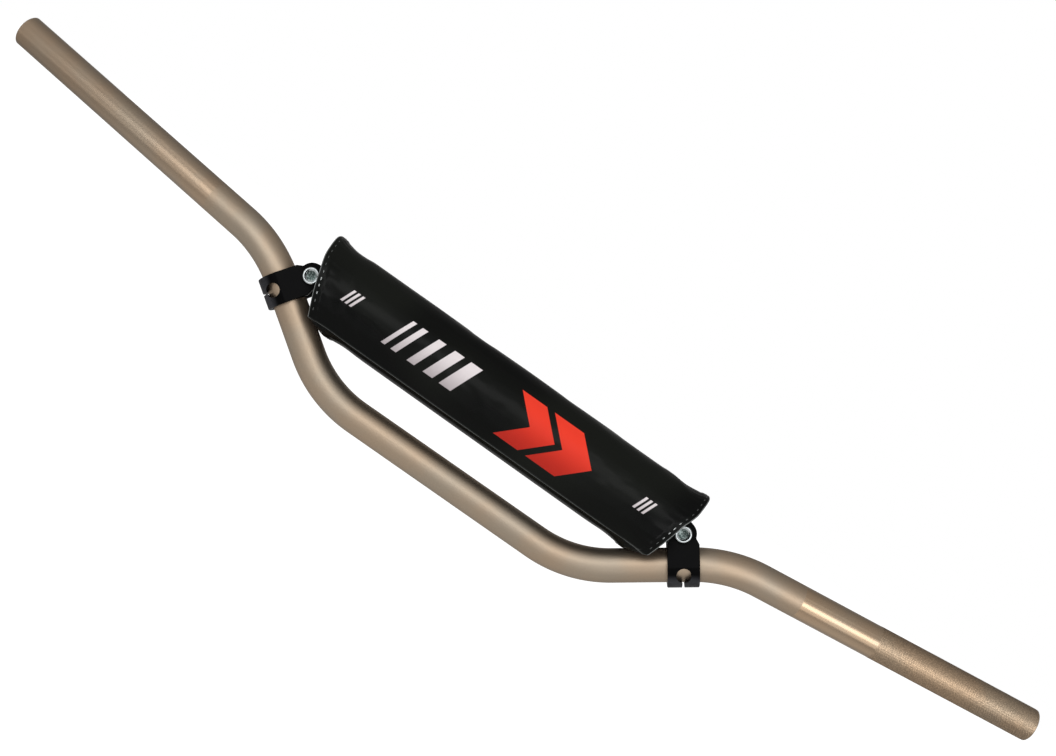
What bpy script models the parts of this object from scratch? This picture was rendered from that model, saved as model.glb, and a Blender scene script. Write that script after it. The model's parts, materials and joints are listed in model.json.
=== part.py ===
"""Motocross handlebar: a bent tube braced by a crossbar, two strap clamps and a foam bar pad.

Frame: the origin is the middle of the straight section that the bike's clamps hold.
+X runs along the bar, +Z up towards the crossbar and +Y back towards the rider.
"""
import bpy
import bmesh
from math import acos, asin, copysign, cos, pi, radians, sin, sqrt, tan
from mathutils import Matrix, Vector

# Handlebar tube, in metres
TUBE_DIAMETER = 0.0222
TUBE_WALL = 0.004
LOWER_BEND_HALF_SPAN = 0.097
LOWER_BEND_RADIUS = 0.084
RISER_ANGLE = radians(35.5)
RISE = 0.0595
UPPER_BEND_RADIUS = 0.086
GRIP_SWEEP_ANGLE = radians(11.7)
GRIP_UP_ANGLE = radians(6.0)
GRIP_LENGTH = 0.2335
TUBE_END_CHAMFER = 0.0005

# Crossbar, milled flat at its ends
CROSSBAR_DIAMETER = 0.013
CROSSBAR_FLAT_DEPTH = 0.0007
CROSSBAR_FLAT_LENGTH = 0.016
CROSSBAR_END_ARC = radians(75.0)
CROSSBAR_TO_TUBE = 0.0029

# Strap clamps, placed along the riser from its lower bend's corner
CLAMP_ALONG_RISER = 0.0728
CLAMP_WIDTH = 0.0206
CLAMP_STRAP_THICKNESS = 0.0032
CLAMP_EAR_THICKNESS = 0.005
CLAMP_SHOULDER_ABOVE_TUBE = 0.0026
CLAMP_NOTCH_BELOW_BOLT = 0.0030
CLAMP_LOBE_INSET = 0.0015
CLAMP_WINDOW_DIAMETER = 0.0096
CLAMP_WINDOW_OFFSET = 0.0062
CLAMP_SLIT_WIDTH = 0.0016
CLAMP_EDGE_ROUND = 0.0006

# Clamp bolts, washers and lock nuts
BOLT_DIAMETER = 0.006
BOLT_LENGTH = 0.035
BOLT_HEAD_DIAMETER = 0.011
BOLT_HEAD_HEIGHT = 0.0045
BOLT_SOCKET_WIDTH = 0.006
BOLT_SOCKET_DEPTH = 0.0025
BOLT_CHAMFER = 0.0007
WASHER_DIAMETER = 0.012
WASHER_THICKNESS = 0.0016
NUT_WIDTH = 0.010
NUT_HEX_HEIGHT = 0.0042
NUT_COLLAR_DIAMETER = 0.0094
NUT_COLLAR_HEIGHT = 0.0022
NUT_COLLAR_LIP = 0.0008
NUT_RING_HEIGHT = 0.0014

# Bar pad: the foam's section is a squared oval round the crossbar
PAD_FOAM_HALF_DEPTH = 0.0200
PAD_FOAM_HALF_HEIGHT = 0.0267
PAD_SECTION_POWER = 2.7
PAD_ABOVE_CROSSBAR = 0.0009
PAD_FOAM_END_TO_CLAMP = 0.0051
PAD_FOAM_END_LEAN = radians(6.0)
PAD_FOAM_SLIT = 0.0012
COVER_THICKNESS = 0.0012
COVER_TOP_TO_BOLT = 0.0004
COVER_BOTTOM_TO_BOLT = 0.0132
COVER_END_STRAIGHT = 0.0240
COVER_INNER_EDGE_ANGLE = radians(186.0)
COVER_LIP_ANGLE = radians(227.0)
COVER_RISE_ANGLE = radians(50.0)
TAPE_THICKNESS = 0.0012
TAPE_END_MARGIN = 0.0062
TAPE_EDGE_MARGIN = radians(5.0)

# Clearances
SEAT_GAP = 0.0003
HOLE_CLEARANCE = 0.0003
COVER_TO_TUBE = 0.0006
FOAM_TO_TUBE = 0.0021

# How far a cutter runs, where it passes right through
THROUGH = 0.12

# Facets and shading
TUBE_SIDES = 32
BEND_SEGMENTS = 8
ARC_STEP = radians(9.0)
TURN_STEPS = 24
PAD_SEGMENTS = 72
END_CURVE_STEPS = 14
EDGE_SEGMENTS = 2
SHARP_ANGLE = radians(40.0)
EDGE_ANGLE = radians(35.0)
TUBE_END_ANGLE = radians(60.0)
WELD_DISTANCE = 1e-6

# Derived sizes and places
FULL_TURN = 2 * pi
SIXTH_TURN = pi / 3
TUBE_RADIUS = TUBE_DIAMETER / 2
BORE_RADIUS = TUBE_RADIUS - TUBE_WALL
RISER_LENGTH = RISE / sin(RISER_ANGLE)
CROSSBAR_RADIUS = CROSSBAR_DIAMETER / 2
LUG_THICKNESS = CROSSBAR_DIAMETER - 2 * CROSSBAR_FLAT_DEPTH
STRAP_INNER_RADIUS = TUBE_RADIUS + SEAT_GAP
STRAP_OUTER_RADIUS = STRAP_INNER_RADIUS + CLAMP_STRAP_THICKNESS
EAR_INNER = LUG_THICKNESS / 2 + SEAT_GAP
EAR_OUTER = EAR_INNER + CLAMP_EAR_THICKNESS
LOBE_RADIUS = CLAMP_WIDTH / 2 - CLAMP_LOBE_INSET
SHOULDER_OFFSET = TUBE_RADIUS + CLAMP_SHOULDER_ABOVE_TUBE
BOLT_OFFSET = TUBE_RADIUS + CROSSBAR_RADIUS + CROSSBAR_TO_TUBE
BOLT_HOLE_RADIUS = BOLT_DIAMETER / 2 + HOLE_CLEARANCE
BOLT_X = (LOWER_BEND_HALF_SPAN + CLAMP_ALONG_RISER * cos(RISER_ANGLE)
          - BOLT_OFFSET * sin(RISER_ANGLE))
BOLT_Z = CLAMP_ALONG_RISER * sin(RISER_ANGLE) + BOLT_OFFSET * cos(RISER_ANGLE)
HEAD_SEAT = EAR_OUTER + SEAT_GAP
WASHER_BACK = EAR_OUTER + SEAT_GAP + WASHER_THICKNESS
NUT_HEIGHT = NUT_HEX_HEIGHT + NUT_COLLAR_HEIGHT
NUT_BACK = WASHER_BACK + SEAT_GAP + NUT_HEIGHT
RING_SEAT = NUT_COLLAR_HEIGHT - (NUT_COLLAR_HEIGHT - NUT_RING_HEIGHT) / 2
PAD_CENTRE_Z = BOLT_Z + PAD_ABOVE_CROSSBAR
PAD_FOAM_HALF_LENGTH = BOLT_X - LOBE_RADIUS - PAD_FOAM_END_TO_CLAMP
COVER_TOP_HALF_LENGTH = BOLT_X - COVER_TOP_TO_BOLT
COVER_BOTTOM_HALF_LENGTH = BOLT_X - COVER_BOTTOM_TO_BOLT
TAPE_LENGTH = 2 * (COVER_BOTTOM_HALF_LENGTH - TAPE_END_MARGIN)
COVER_INNER_OFFSET = SEAT_GAP
HOOK_OFFSET = COVER_INNER_OFFSET + COVER_THICKNESS + SEAT_GAP
LOOP_OFFSET = HOOK_OFFSET + TAPE_THICKNESS + SEAT_GAP
COVER_OUTER_OFFSET = LOOP_OFFSET + TAPE_THICKNESS + SEAT_GAP
COVER_HALF_HEIGHT = PAD_FOAM_HALF_HEIGHT + COVER_INNER_OFFSET + COVER_THICKNESS

X_AXIS = Vector((1, 0, 0))
Y_AXIS = Vector((0, 1, 0))
Z_AXIS = Vector((0, 0, 1))


def new_collection(name):
    """Make a collection in the scene."""
    made = bpy.data.collections.new(name)
    bpy.context.scene.collection.children.link(made)
    return made


for leftover in list(bpy.data.objects):
    bpy.data.objects.remove(leftover)
PARTS = new_collection("motocross_handlebar")
CUTTERS = new_collection("cutters")


def material(name, colour, roughness, metallic):
    """Return a Principled material of one colour."""
    made = bpy.data.materials.new(name)
    made.use_nodes = True
    shader = made.node_tree.nodes["Principled BSDF"]
    shader.inputs["Base Color"].default_value = (*colour, 1.0)
    shader.inputs["Roughness"].default_value = roughness
    shader.inputs["Metallic"].default_value = metallic
    return made


def frame(origin, first, second):
    """Return the matrix of a right-handed frame from its origin and first two axes."""
    columns = Matrix((first, second, first.cross(second))).transposed().to_4x4()
    return Matrix.Translation(origin) @ columns


def front_frame(x, z, depth=0.0):
    """Return a frame that looks to the front: X along the bar, Y up, Z forwards."""
    return frame(Vector((x, depth, z)), X_AXIS, Z_AXIS)


def along_bar_frame(z):
    """Return a frame with Z along the bar: X back, Y up."""
    return frame(Vector((0, 0, z)), Y_AXIS, Z_AXIS)


def riser_axes(side):
    """Return the point of a riser that its clamp holds, with the axes that fix the clamp.

    The axes run up the riser, across it and from it towards the bolt.
    """
    along = Vector((side * cos(RISER_ANGLE), 0, sin(RISER_ANGLE)))
    towards_bolt = Vector((-side * sin(RISER_ANGLE), 0, cos(RISER_ANGLE)))
    corner = Vector((side * LOWER_BEND_HALF_SPAN, 0, 0))
    return corner + along * CLAMP_ALONG_RISER, along, towards_bolt.cross(along), towards_bolt


def link(obj, collection):
    """Put an object in its collection, a cutter as a wire guide that isn't rendered."""
    collection.objects.link(obj)
    if collection == CUTTERS:
        obj.hide_render = True
        obj.display_type = "WIRE"
    return obj


def mesh_object(name, bm, matrix, collection):
    """Turn a bmesh into a placed object."""
    mesh = bpy.data.meshes.new(name)
    bm.to_mesh(mesh)
    bm.free()
    obj = bpy.data.objects.new(name, mesh)
    obj.matrix_world = matrix
    return link(obj, collection)


def curve_to_mesh(curve, matrix, collection):
    """Replace a curve with the mesh it evaluates to, its caps welded on."""
    source = bpy.data.objects.new(curve.name, curve)
    bpy.context.scene.collection.objects.link(source)
    bpy.context.view_layer.update()
    evaluated = source.evaluated_get(bpy.context.evaluated_depsgraph_get())
    mesh = bpy.data.meshes.new_from_object(evaluated)
    name = source.name
    bpy.data.objects.remove(source)
    bpy.data.curves.remove(curve)
    bm = bmesh.new()
    bm.from_mesh(mesh)
    bpy.data.meshes.remove(mesh)
    bmesh.ops.remove_doubles(bm, verts=bm.verts, dist=WELD_DISTANCE)
    bmesh.ops.recalc_face_normals(bm, faces=bm.faces)
    return mesh_object(name, bm, matrix, collection)


def add_spline(curve, points, cyclic):
    """Add a straight-sided spline through points to a curve."""
    spline = curve.splines.new("POLY")
    spline.points.add(len(points) - 1)
    for control, place in zip(spline.points, points):
        control.co = (*place, 1.0)
    spline.use_cyclic_u = cyclic


def extruded(name, outline, matrix, depth, collection=PARTS):
    """Extrude a flat outline, centred on its plane, to a depth."""
    curve = bpy.data.curves.new(name, "CURVE")
    curve.dimensions = "2D"
    curve.fill_mode = "BOTH"
    curve.extrude = depth / 2
    add_spline(curve, [(u, v, 0.0) for u, v in outline], cyclic=True)
    return curve_to_mesh(curve, matrix, collection)


def piped(name, points, radius, collection=PARTS):
    """Make a round bar of one radius along a path."""
    curve = bpy.data.curves.new(name, "CURVE")
    curve.dimensions = "3D"
    curve.bevel_depth = radius
    curve.bevel_resolution = TUBE_SIDES // 2 - 2
    curve.use_fill_caps = True
    add_spline(curve, points, cyclic=False)
    return curve_to_mesh(curve, Matrix.Identity(4), collection)


def cylinder(name, radius, length, matrix, sides, collection=PARTS):
    """Make a cylinder about the matrix's Z axis, centred on its origin."""
    bm = bmesh.new()
    bmesh.ops.create_cone(bm, cap_ends=True, segments=sides, radius1=radius, radius2=radius,
                          depth=length)
    return mesh_object(name, bm, matrix, collection)


def box(name, size, matrix, collection=PARTS):
    """Make a box of full sizes, centred on the matrix's origin."""
    bm = bmesh.new()
    bmesh.ops.create_cube(bm, size=1.0)
    bmesh.ops.scale(bm, vec=size, verts=bm.verts)
    return mesh_object(name, bm, matrix, collection)


def turned(name, profile, matrix, collection=PARTS):
    """Turn a profile of (radius, height) points about the matrix's Z axis."""
    bm = bmesh.new()
    verts = [bm.verts.new((radius, 0, height)) for radius, height in profile]
    for first, second in zip(verts, verts[1:]):
        bm.edges.new((first, second))
    if profile[0][0] > 0:
        bm.edges.new((verts[-1], verts[0]))
    obj = mesh_object(name, bm, matrix, collection)
    screw = obj.modifiers.new("turn", "SCREW")
    screw.axis = "Z"
    screw.angle = FULL_TURN
    screw.steps = TURN_STEPS
    screw.render_steps = TURN_STEPS
    screw.use_merge_vertices = True
    screw.merge_threshold = WELD_DISTANCE
    return obj


def boolean(obj, cutter, operation):
    """Add an exact Boolean modifier."""
    modifier = obj.modifiers.new(cutter.name, "BOOLEAN")
    modifier.solver = "EXACT"
    modifier.operation = operation
    modifier.object = cutter


def round_edges(obj, width, segments, angle):
    """Add a bevel on the edges sharper than an angle."""
    modifier = obj.modifiers.new("edges", "BEVEL")
    modifier.width = width
    modifier.segments = segments
    modifier.limit_method = "ANGLE"
    modifier.angle_limit = angle


def finish(obj, coat):
    """Shade an object smooth, its sharp edges kept, and give it its material."""
    obj.data.shade_smooth()
    obj.data.set_sharp_from_angle(angle=SHARP_ANGLE)
    obj.data.materials.append(coat)
    return obj


def arc(centre, radius, start, end):
    """Return points along an arc in a plane, both ends included."""
    count = max(2, round(abs(end - start) / ARC_STEP))
    angles = [start + (end - start) * k / count for k in range(count + 1)]
    return [(centre[0] + radius * cos(angle), centre[1] + radius * sin(angle))
            for angle in angles]


def bend(corner, before, after, radius):
    """Return points round a bend that joins two straight runs at their corner."""
    turn = acos(before.dot(after))
    start = corner - before * (radius * tan(turn / 2))
    inward = (after - before * before.dot(after)).normalized()
    centre = start + inward * radius
    angles = [turn * k / BEND_SEGMENTS for k in range(BEND_SEGMENTS + 1)]
    return [centre - inward * (radius * cos(angle)) + before * (radius * sin(angle))
            for angle in angles]


def tube_path(overrun=0.0):
    """Return the bar's centre line from the left end to the right, both run on by an overrun."""
    riser = Vector((cos(RISER_ANGLE), 0, sin(RISER_ANGLE)))
    grip = Vector((cos(GRIP_UP_ANGLE) * cos(GRIP_SWEEP_ANGLE),
                   cos(GRIP_UP_ANGLE) * sin(GRIP_SWEEP_ANGLE),
                   sin(GRIP_UP_ANGLE)))
    lower_corner = Vector((LOWER_BEND_HALF_SPAN, 0, 0))
    upper_corner = lower_corner + riser * RISER_LENGTH
    half = bend(lower_corner, X_AXIS, riser, LOWER_BEND_RADIUS)
    half += bend(upper_corner, riser, grip, UPPER_BEND_RADIUS)
    half.append(upper_corner + grip * (GRIP_LENGTH + overrun))
    mirrored = [Vector((-point.x, point.y, point.z)) for point in reversed(half)]
    return mirrored + half


def build_tube(coat):
    """Build the bent tube with its open bore and deburred ends."""
    tube = piped("handlebar_tube", tube_path(), TUBE_RADIUS)
    bore = piped("tube_bore", tube_path(TUBE_DIAMETER), BORE_RADIUS, CUTTERS)
    boolean(tube, bore, "DIFFERENCE")
    round_edges(tube, TUBE_END_CHAMFER, 1, TUBE_END_ANGLE)
    return finish(tube, coat)


def crossbar_outline():
    """Return the crossbar's blank as seen from the front, its ends rounded about the bolts."""
    shoulder = BOLT_X + CROSSBAR_RADIUS * cos(CROSSBAR_END_ARC)
    end = arc((BOLT_X, 0), CROSSBAR_RADIUS, -CROSSBAR_END_ARC, CROSSBAR_END_ARC)
    end = [(shoulder, -CROSSBAR_DIAMETER)] + end + [(shoulder, CROSSBAR_DIAMETER)]
    return end + [(-u, v) for u, v in reversed(end)]


def build_crossbar(coat):
    """Build the crossbar, its ends rounded and milled flat to sit between the clamp ears."""
    blank_length = 2 * (BOLT_X + CROSSBAR_DIAMETER)
    bar = cylinder("crossbar", CROSSBAR_RADIUS, blank_length, along_bar_frame(BOLT_Z), TUBE_SIDES)
    ends = extruded("crossbar_ends", crossbar_outline(), front_frame(0, BOLT_Z), THROUGH, CUTTERS)
    boolean(bar, ends, "INTERSECT")
    flat_size = (2 * CROSSBAR_FLAT_LENGTH, CROSSBAR_DIAMETER, 2 * CROSSBAR_DIAMETER)
    flat_y = (LUG_THICKNESS + CROSSBAR_DIAMETER) / 2
    for side in (-1, 1):
        for face in (-1, 1):
            middle = Matrix.Translation((side * BOLT_X, face * flat_y, BOLT_Z))
            boolean(bar, box(f"lug_flat_{side}_{face}", flat_size, middle, CUTTERS), "DIFFERENCE")
        hole = cylinder(f"lug_hole_{side}", BOLT_HOLE_RADIUS, THROUGH,
                        front_frame(side * BOLT_X, BOLT_Z), TURN_STEPS, CUTTERS)
        boolean(bar, hole, "DIFFERENCE")
    return finish(bar, coat)


def clamp_section():
    """Return the clamp's outline across the riser, as (across, towards bolt) points.

    The strap runs round the tube's outer side, its flanks lean in to the two ears, and the
    bore opens between the ears.
    """
    tip = BOLT_OFFSET + LOBE_RADIUS
    mouth = asin(sqrt(STRAP_INNER_RADIUS ** 2 - EAR_INNER ** 2) / STRAP_INNER_RADIUS)
    strap = arc((0, 0), STRAP_OUTER_RADIUS, -pi, 0)
    ear = [(EAR_OUTER, SHOULDER_OFFSET), (EAR_OUTER, tip), (EAR_INNER, tip)]
    bore = arc((0, 0), STRAP_INNER_RADIUS, mouth, -pi - mouth)
    other_ear = [(-u, v) for u, v in reversed(ear)]
    return strap + ear + bore + other_ear


def clamp_outline():
    """Return the clamp's outline seen from the front, as (along riser, towards bolt) points.

    The strap is a straight band up to its shoulders, which slope in to a notch each side of
    the lobe round the bolt.
    """
    half = CLAMP_WIDTH / 2
    foot = -2 * STRAP_OUTER_RADIUS
    notch = asin(CLAMP_NOTCH_BELOW_BOLT / LOBE_RADIUS)
    lobe = arc((0, BOLT_OFFSET), LOBE_RADIUS, -notch, pi + notch)
    return ([(half, foot), (half, SHOULDER_OFFSET)] + lobe
            + [(-half, SHOULDER_OFFSET), (-half, foot)])


def build_clamp(side, name, coat):
    """Build one strap clamp with its ears, bolt hole, window and slit."""
    origin, along, across, towards_bolt = riser_axes(side)
    clamp = extruded(name, clamp_section(), frame(origin, across, towards_bolt), 2 * CLAMP_WIDTH)
    outline = extruded(name + "_outline", clamp_outline(), frame(origin, along, towards_bolt),
                       THROUGH, CUTTERS)
    boolean(clamp, outline, "INTERSECT")
    round_edges(clamp, CLAMP_EDGE_ROUND, EDGE_SEGMENTS, EDGE_ANGLE)
    window_middle = origin - towards_bolt * CLAMP_WINDOW_OFFSET
    window = cylinder(name + "_window", CLAMP_WINDOW_DIAMETER / 2, THROUGH,
                      frame(window_middle, along, towards_bolt), TURN_STEPS, CUTTERS)
    boolean(clamp, window, "DIFFERENCE")
    slit_middle = window_middle - towards_bolt * STRAP_OUTER_RADIUS
    slit_size = (CLAMP_SLIT_WIDTH, THROUGH, 2 * STRAP_OUTER_RADIUS)
    slit = box(name + "_slit", slit_size, frame(slit_middle, along, across), CUTTERS)
    boolean(clamp, slit, "DIFFERENCE")
    hole = cylinder(name + "_bolt_hole", BOLT_HOLE_RADIUS, THROUGH,
                    front_frame(side * BOLT_X, BOLT_Z), TURN_STEPS, CUTTERS)
    boolean(clamp, hole, "DIFFERENCE")
    return finish(clamp, coat)


def build_bolt(side, name, coat):
    """Build one socket-head bolt, its head at the front."""
    head = BOLT_HEAD_DIAMETER / 2
    shank = BOLT_DIAMETER / 2
    profile = [(0, BOLT_HEAD_HEIGHT),
               (head - BOLT_CHAMFER, BOLT_HEAD_HEIGHT),
               (head, BOLT_HEAD_HEIGHT - BOLT_CHAMFER),
               (head, 0),
               (shank, 0),
               (shank, -BOLT_LENGTH + BOLT_CHAMFER),
               (shank - BOLT_CHAMFER, -BOLT_LENGTH),
               (0, -BOLT_LENGTH)]
    bolt = turned(name, profile, front_frame(side * BOLT_X, BOLT_Z, -HEAD_SEAT))
    top = front_frame(side * BOLT_X, BOLT_Z, -HEAD_SEAT - BOLT_HEAD_HEIGHT)
    socket = cylinder(name + "_socket", BOLT_SOCKET_WIDTH / sqrt(3), 2 * BOLT_SOCKET_DEPTH, top,
                      6, CUTTERS)
    boolean(bolt, socket, "DIFFERENCE")
    return finish(bolt, coat)


def build_washer(side, name, coat):
    """Build one flat washer behind the rear ear."""
    outer = WASHER_DIAMETER / 2
    profile = [(BOLT_HOLE_RADIUS, WASHER_THICKNESS),
               (outer, WASHER_THICKNESS),
               (outer, 0),
               (BOLT_HOLE_RADIUS, 0)]
    return finish(turned(name, profile, front_frame(side * BOLT_X, BOLT_Z, WASHER_BACK)), coat)


def nut_turning():
    """Return the profile that turns a nut's corners off and leaves its rolled collar."""
    flank = NUT_WIDTH / 2
    corner = NUT_WIDTH / sqrt(3)
    fall = (corner - flank) / 2
    collar = NUT_COLLAR_DIAMETER / 2
    return [(0, NUT_HEIGHT),
            (flank, NUT_HEIGHT),
            (corner, NUT_HEIGHT - fall),
            (corner, NUT_COLLAR_HEIGHT + fall),
            (flank, NUT_COLLAR_HEIGHT),
            (collar, NUT_COLLAR_HEIGHT),
            (collar, NUT_COLLAR_LIP),
            (collar - NUT_COLLAR_LIP, 0),
            (0, 0)]


def build_nut(side, name, coat):
    """Build one lock nut: a turned hexagon with a seat for the locking ring in its collar."""
    corner = NUT_WIDTH / sqrt(3)
    hexagon = [(corner * cos((k + 0.5) * SIXTH_TURN), corner * sin((k + 0.5) * SIXTH_TURN))
               for k in range(6)]
    middle = front_frame(side * BOLT_X, BOLT_Z, NUT_BACK - NUT_HEIGHT / 2)
    back = front_frame(side * BOLT_X, BOLT_Z, NUT_BACK)
    nut = extruded(name, hexagon, middle, NUT_HEIGHT)
    boolean(nut, turned(name + "_turning", nut_turning(), back, CUTTERS), "INTERSECT")
    seat = NUT_COLLAR_DIAMETER / 2 - NUT_COLLAR_LIP
    bore = [(0, THROUGH), (BOLT_HOLE_RADIUS, THROUGH), (BOLT_HOLE_RADIUS, RING_SEAT),
            (seat, RING_SEAT), (seat, -THROUGH), (0, -THROUGH)]
    boolean(nut, turned(name + "_bore", bore, back, CUTTERS), "DIFFERENCE")
    return finish(nut, coat)


def build_nut_ring(side, name, coat):
    """Build the locking ring held in one nut's collar."""
    outer = NUT_COLLAR_DIAMETER / 2 - NUT_COLLAR_LIP - SEAT_GAP
    top = RING_SEAT - SEAT_GAP
    low = top - NUT_RING_HEIGHT + SEAT_GAP
    profile = [(BOLT_HOLE_RADIUS, top), (outer, top), (outer, low), (BOLT_HOLE_RADIUS, low)]
    return finish(turned(name, profile, front_frame(side * BOLT_X, BOLT_Z, NUT_BACK)), coat)


def pad_angle(height):
    """Return the section angle at which the back of the foam has a height."""
    share = abs(height / PAD_FOAM_HALF_HEIGHT) ** (PAD_SECTION_POWER / 2)
    return asin(copysign(share, height))


def pad_point(angle, offset):
    """Return a point of the pad's section, as (depth, height), at an offset outside the foam.

    The angle is measured from the back, over the top.
    """
    power = 2 / PAD_SECTION_POWER
    across = copysign(abs(cos(angle)) ** power, cos(angle))
    up = copysign(abs(sin(angle)) ** power, sin(angle))
    steepness = PAD_SECTION_POWER - 1
    normal = Vector((copysign(abs(across) ** steepness / PAD_FOAM_HALF_DEPTH, across),
                     copysign(abs(up) ** steepness / PAD_FOAM_HALF_HEIGHT, up))).normalized()
    return (PAD_FOAM_HALF_DEPTH * across + normal.x * offset,
            PAD_FOAM_HALF_HEIGHT * up + normal.y * offset)


def pad_angles(start, end):
    """Return evenly spaced section angles from one to another."""
    count = max(2, round((end - start) / FULL_TURN * PAD_SEGMENTS))
    return [start + (end - start) * k / count for k in range(count + 1)]


def pad_band(start, end, offset_at, thickness):
    """Return the outline of a sheet of one thickness that follows the pad's section."""
    angles = pad_angles(start, end)
    inside = [pad_point(angle, offset_at(angle)) for angle in angles]
    outside = [pad_point(angle, offset_at(angle) + thickness) for angle in reversed(angles)]
    return inside + outside


def cover_offset(angle):
    """Return how far the cover's inner face lies outside the foam, rising over the closure."""
    start = COVER_INNER_EDGE_ANGLE + FULL_TURN - COVER_RISE_ANGLE
    share = max(0.0, min(1.0, (angle - start) / COVER_RISE_ANGLE))
    eased = share * share * (3 - 2 * share)
    return COVER_INNER_OFFSET + (COVER_OUTER_OFFSET - COVER_INNER_OFFSET) * eased


def beside_riser(height, clearance):
    """Return how far out a pad end may reach at a height, clear of the riser's front view."""
    square = (PAD_CENTRE_Z + height) * cos(RISER_ANGLE) - TUBE_RADIUS - clearance
    return LOWER_BEND_HALF_SPAN + square / sin(RISER_ANGLE)


def end_trim(name, bottom_half, top_half, straight, low, high, clearance):
    """Make the solid that trims the pad's ends, as seen from the front.

    Each end runs straight down from the top and curves in towards the bottom, where its corner
    is cut off along the riser.
    """
    end = []
    for k in range(END_CURVE_STEPS + 1):
        share = k / END_CURVE_STEPS
        height = low + (high - straight - low) * share
        reach = bottom_half + (top_half - bottom_half) * sin(share * pi / 2)
        end.append((min(reach, beside_riser(height, clearance)), height))
    end.append((top_half, high))
    outline = end + [(-u, v) for u, v in reversed(end)]
    return extruded(name, outline, front_frame(0, PAD_CENTRE_Z), THROUGH, CUTTERS)


def foam_section():
    """Return the foam's outline, slit from the back into the crossbar's bore."""
    bore = CROSSBAR_RADIUS + SEAT_GAP
    half_slit = PAD_FOAM_SLIT / 2
    turn = asin(half_slit / bore)
    angles = pad_angles(pad_angle(half_slit - PAD_ABOVE_CROSSBAR),
                        FULL_TURN + pad_angle(-half_slit - PAD_ABOVE_CROSSBAR))
    outer = [pad_point(angle, 0.0) for angle in angles]
    return outer + arc((0, -PAD_ABOVE_CROSSBAR), bore, -turn, turn - FULL_TURN)


def build_foam(coat):
    """Build the foam core with its bore for the crossbar and the slit it goes on by."""
    foam = extruded("pad_foam", foam_section(), along_bar_frame(PAD_CENTRE_Z),
                    2 * (PAD_FOAM_HALF_LENGTH + PAD_FOAM_HALF_HEIGHT))
    lean = PAD_FOAM_HALF_HEIGHT * tan(PAD_FOAM_END_LEAN)
    ends = end_trim("foam_ends", PAD_FOAM_HALF_LENGTH - 2 * lean, PAD_FOAM_HALF_LENGTH + lean,
                    PAD_FOAM_HALF_HEIGHT, -2 * PAD_FOAM_HALF_HEIGHT, 2 * PAD_FOAM_HALF_HEIGHT,
                    FOAM_TO_TUBE)
    boolean(foam, ends, "INTERSECT")
    return finish(foam, coat)


def build_cover(coat):
    """Build the wrapped cover sheet, closed at the front below, its ends cut to shape."""
    section = pad_band(COVER_INNER_EDGE_ANGLE, COVER_LIP_ANGLE + FULL_TURN, cover_offset,
                       COVER_THICKNESS)
    cover = extruded("pad_cover", section, along_bar_frame(PAD_CENTRE_Z),
                     2 * (COVER_TOP_HALF_LENGTH + COVER_HALF_HEIGHT))
    ends = end_trim("cover_ends", COVER_BOTTOM_HALF_LENGTH, COVER_TOP_HALF_LENGTH,
                    COVER_END_STRAIGHT, -COVER_HALF_HEIGHT, 2 * COVER_HALF_HEIGHT, COVER_TO_TUBE)
    boolean(cover, ends, "INTERSECT")
    return finish(cover, coat)


def build_tape(name, offset, coat):
    """Build one strip of the closure, following the section under the lip."""
    section = pad_band(COVER_INNER_EDGE_ANGLE + TAPE_EDGE_MARGIN,
                       COVER_LIP_ANGLE - TAPE_EDGE_MARGIN, lambda angle: offset, TAPE_THICKNESS)
    return finish(extruded(name, section, along_bar_frame(PAD_CENTRE_Z), TAPE_LENGTH), coat)


def build():
    """Build every sub-part of the handlebar."""
    bronze = material("bronze_anodised_aluminium", (0.42, 0.33, 0.24), 0.42, 0.9)
    black = material("black_anodised_aluminium", (0.012, 0.012, 0.013), 0.35, 0.6)
    silver = material("natural_aluminium", (0.75, 0.76, 0.77), 0.35, 1.0)
    zinc = material("zinc_plated_steel", (0.62, 0.66, 0.68), 0.28, 1.0)
    nylon = material("white_nylon", (0.8, 0.8, 0.76), 0.5, 0.0)
    foam = material("grey_foam", (0.06, 0.06, 0.065), 0.95, 0.0)
    vinyl = material("black_vinyl", (0.012, 0.013, 0.013), 0.25, 0.0)
    tape = material("closure_tape", (0.02, 0.02, 0.022), 0.9, 0.0)

    build_tube(bronze)
    build_crossbar(silver)
    for side, label in ((-1, "left"), (1, "right")):
        build_clamp(side, f"crossbar_clamp_{label}", black)
        build_bolt(side, f"clamp_bolt_{label}", zinc)
        build_washer(side, f"clamp_washer_{label}", zinc)
        build_nut(side, f"clamp_nut_{label}", zinc)
        build_nut_ring(side, f"nut_locking_ring_{label}", nylon)
    build_foam(foam)
    build_cover(vinyl)
    build_tape("hook_tape", HOOK_OFFSET, tape)
    build_tape("loop_tape", LOOP_OFFSET, tape)


build()
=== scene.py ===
"""Motocross handlebar: the looks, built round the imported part.

Frame: metres. The origin is the middle of the straight section that the bike holds, +X runs
along the bar, +Y back towards the rider and +Z up towards the crossbar.
"""
from __future__ import annotations

import json
import logging
import math
from dataclasses import dataclass, field
from enum import Enum
from functools import reduce

import bmesh
import bpy
import numpy as np
from mathutils import Matrix, Vector

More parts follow.
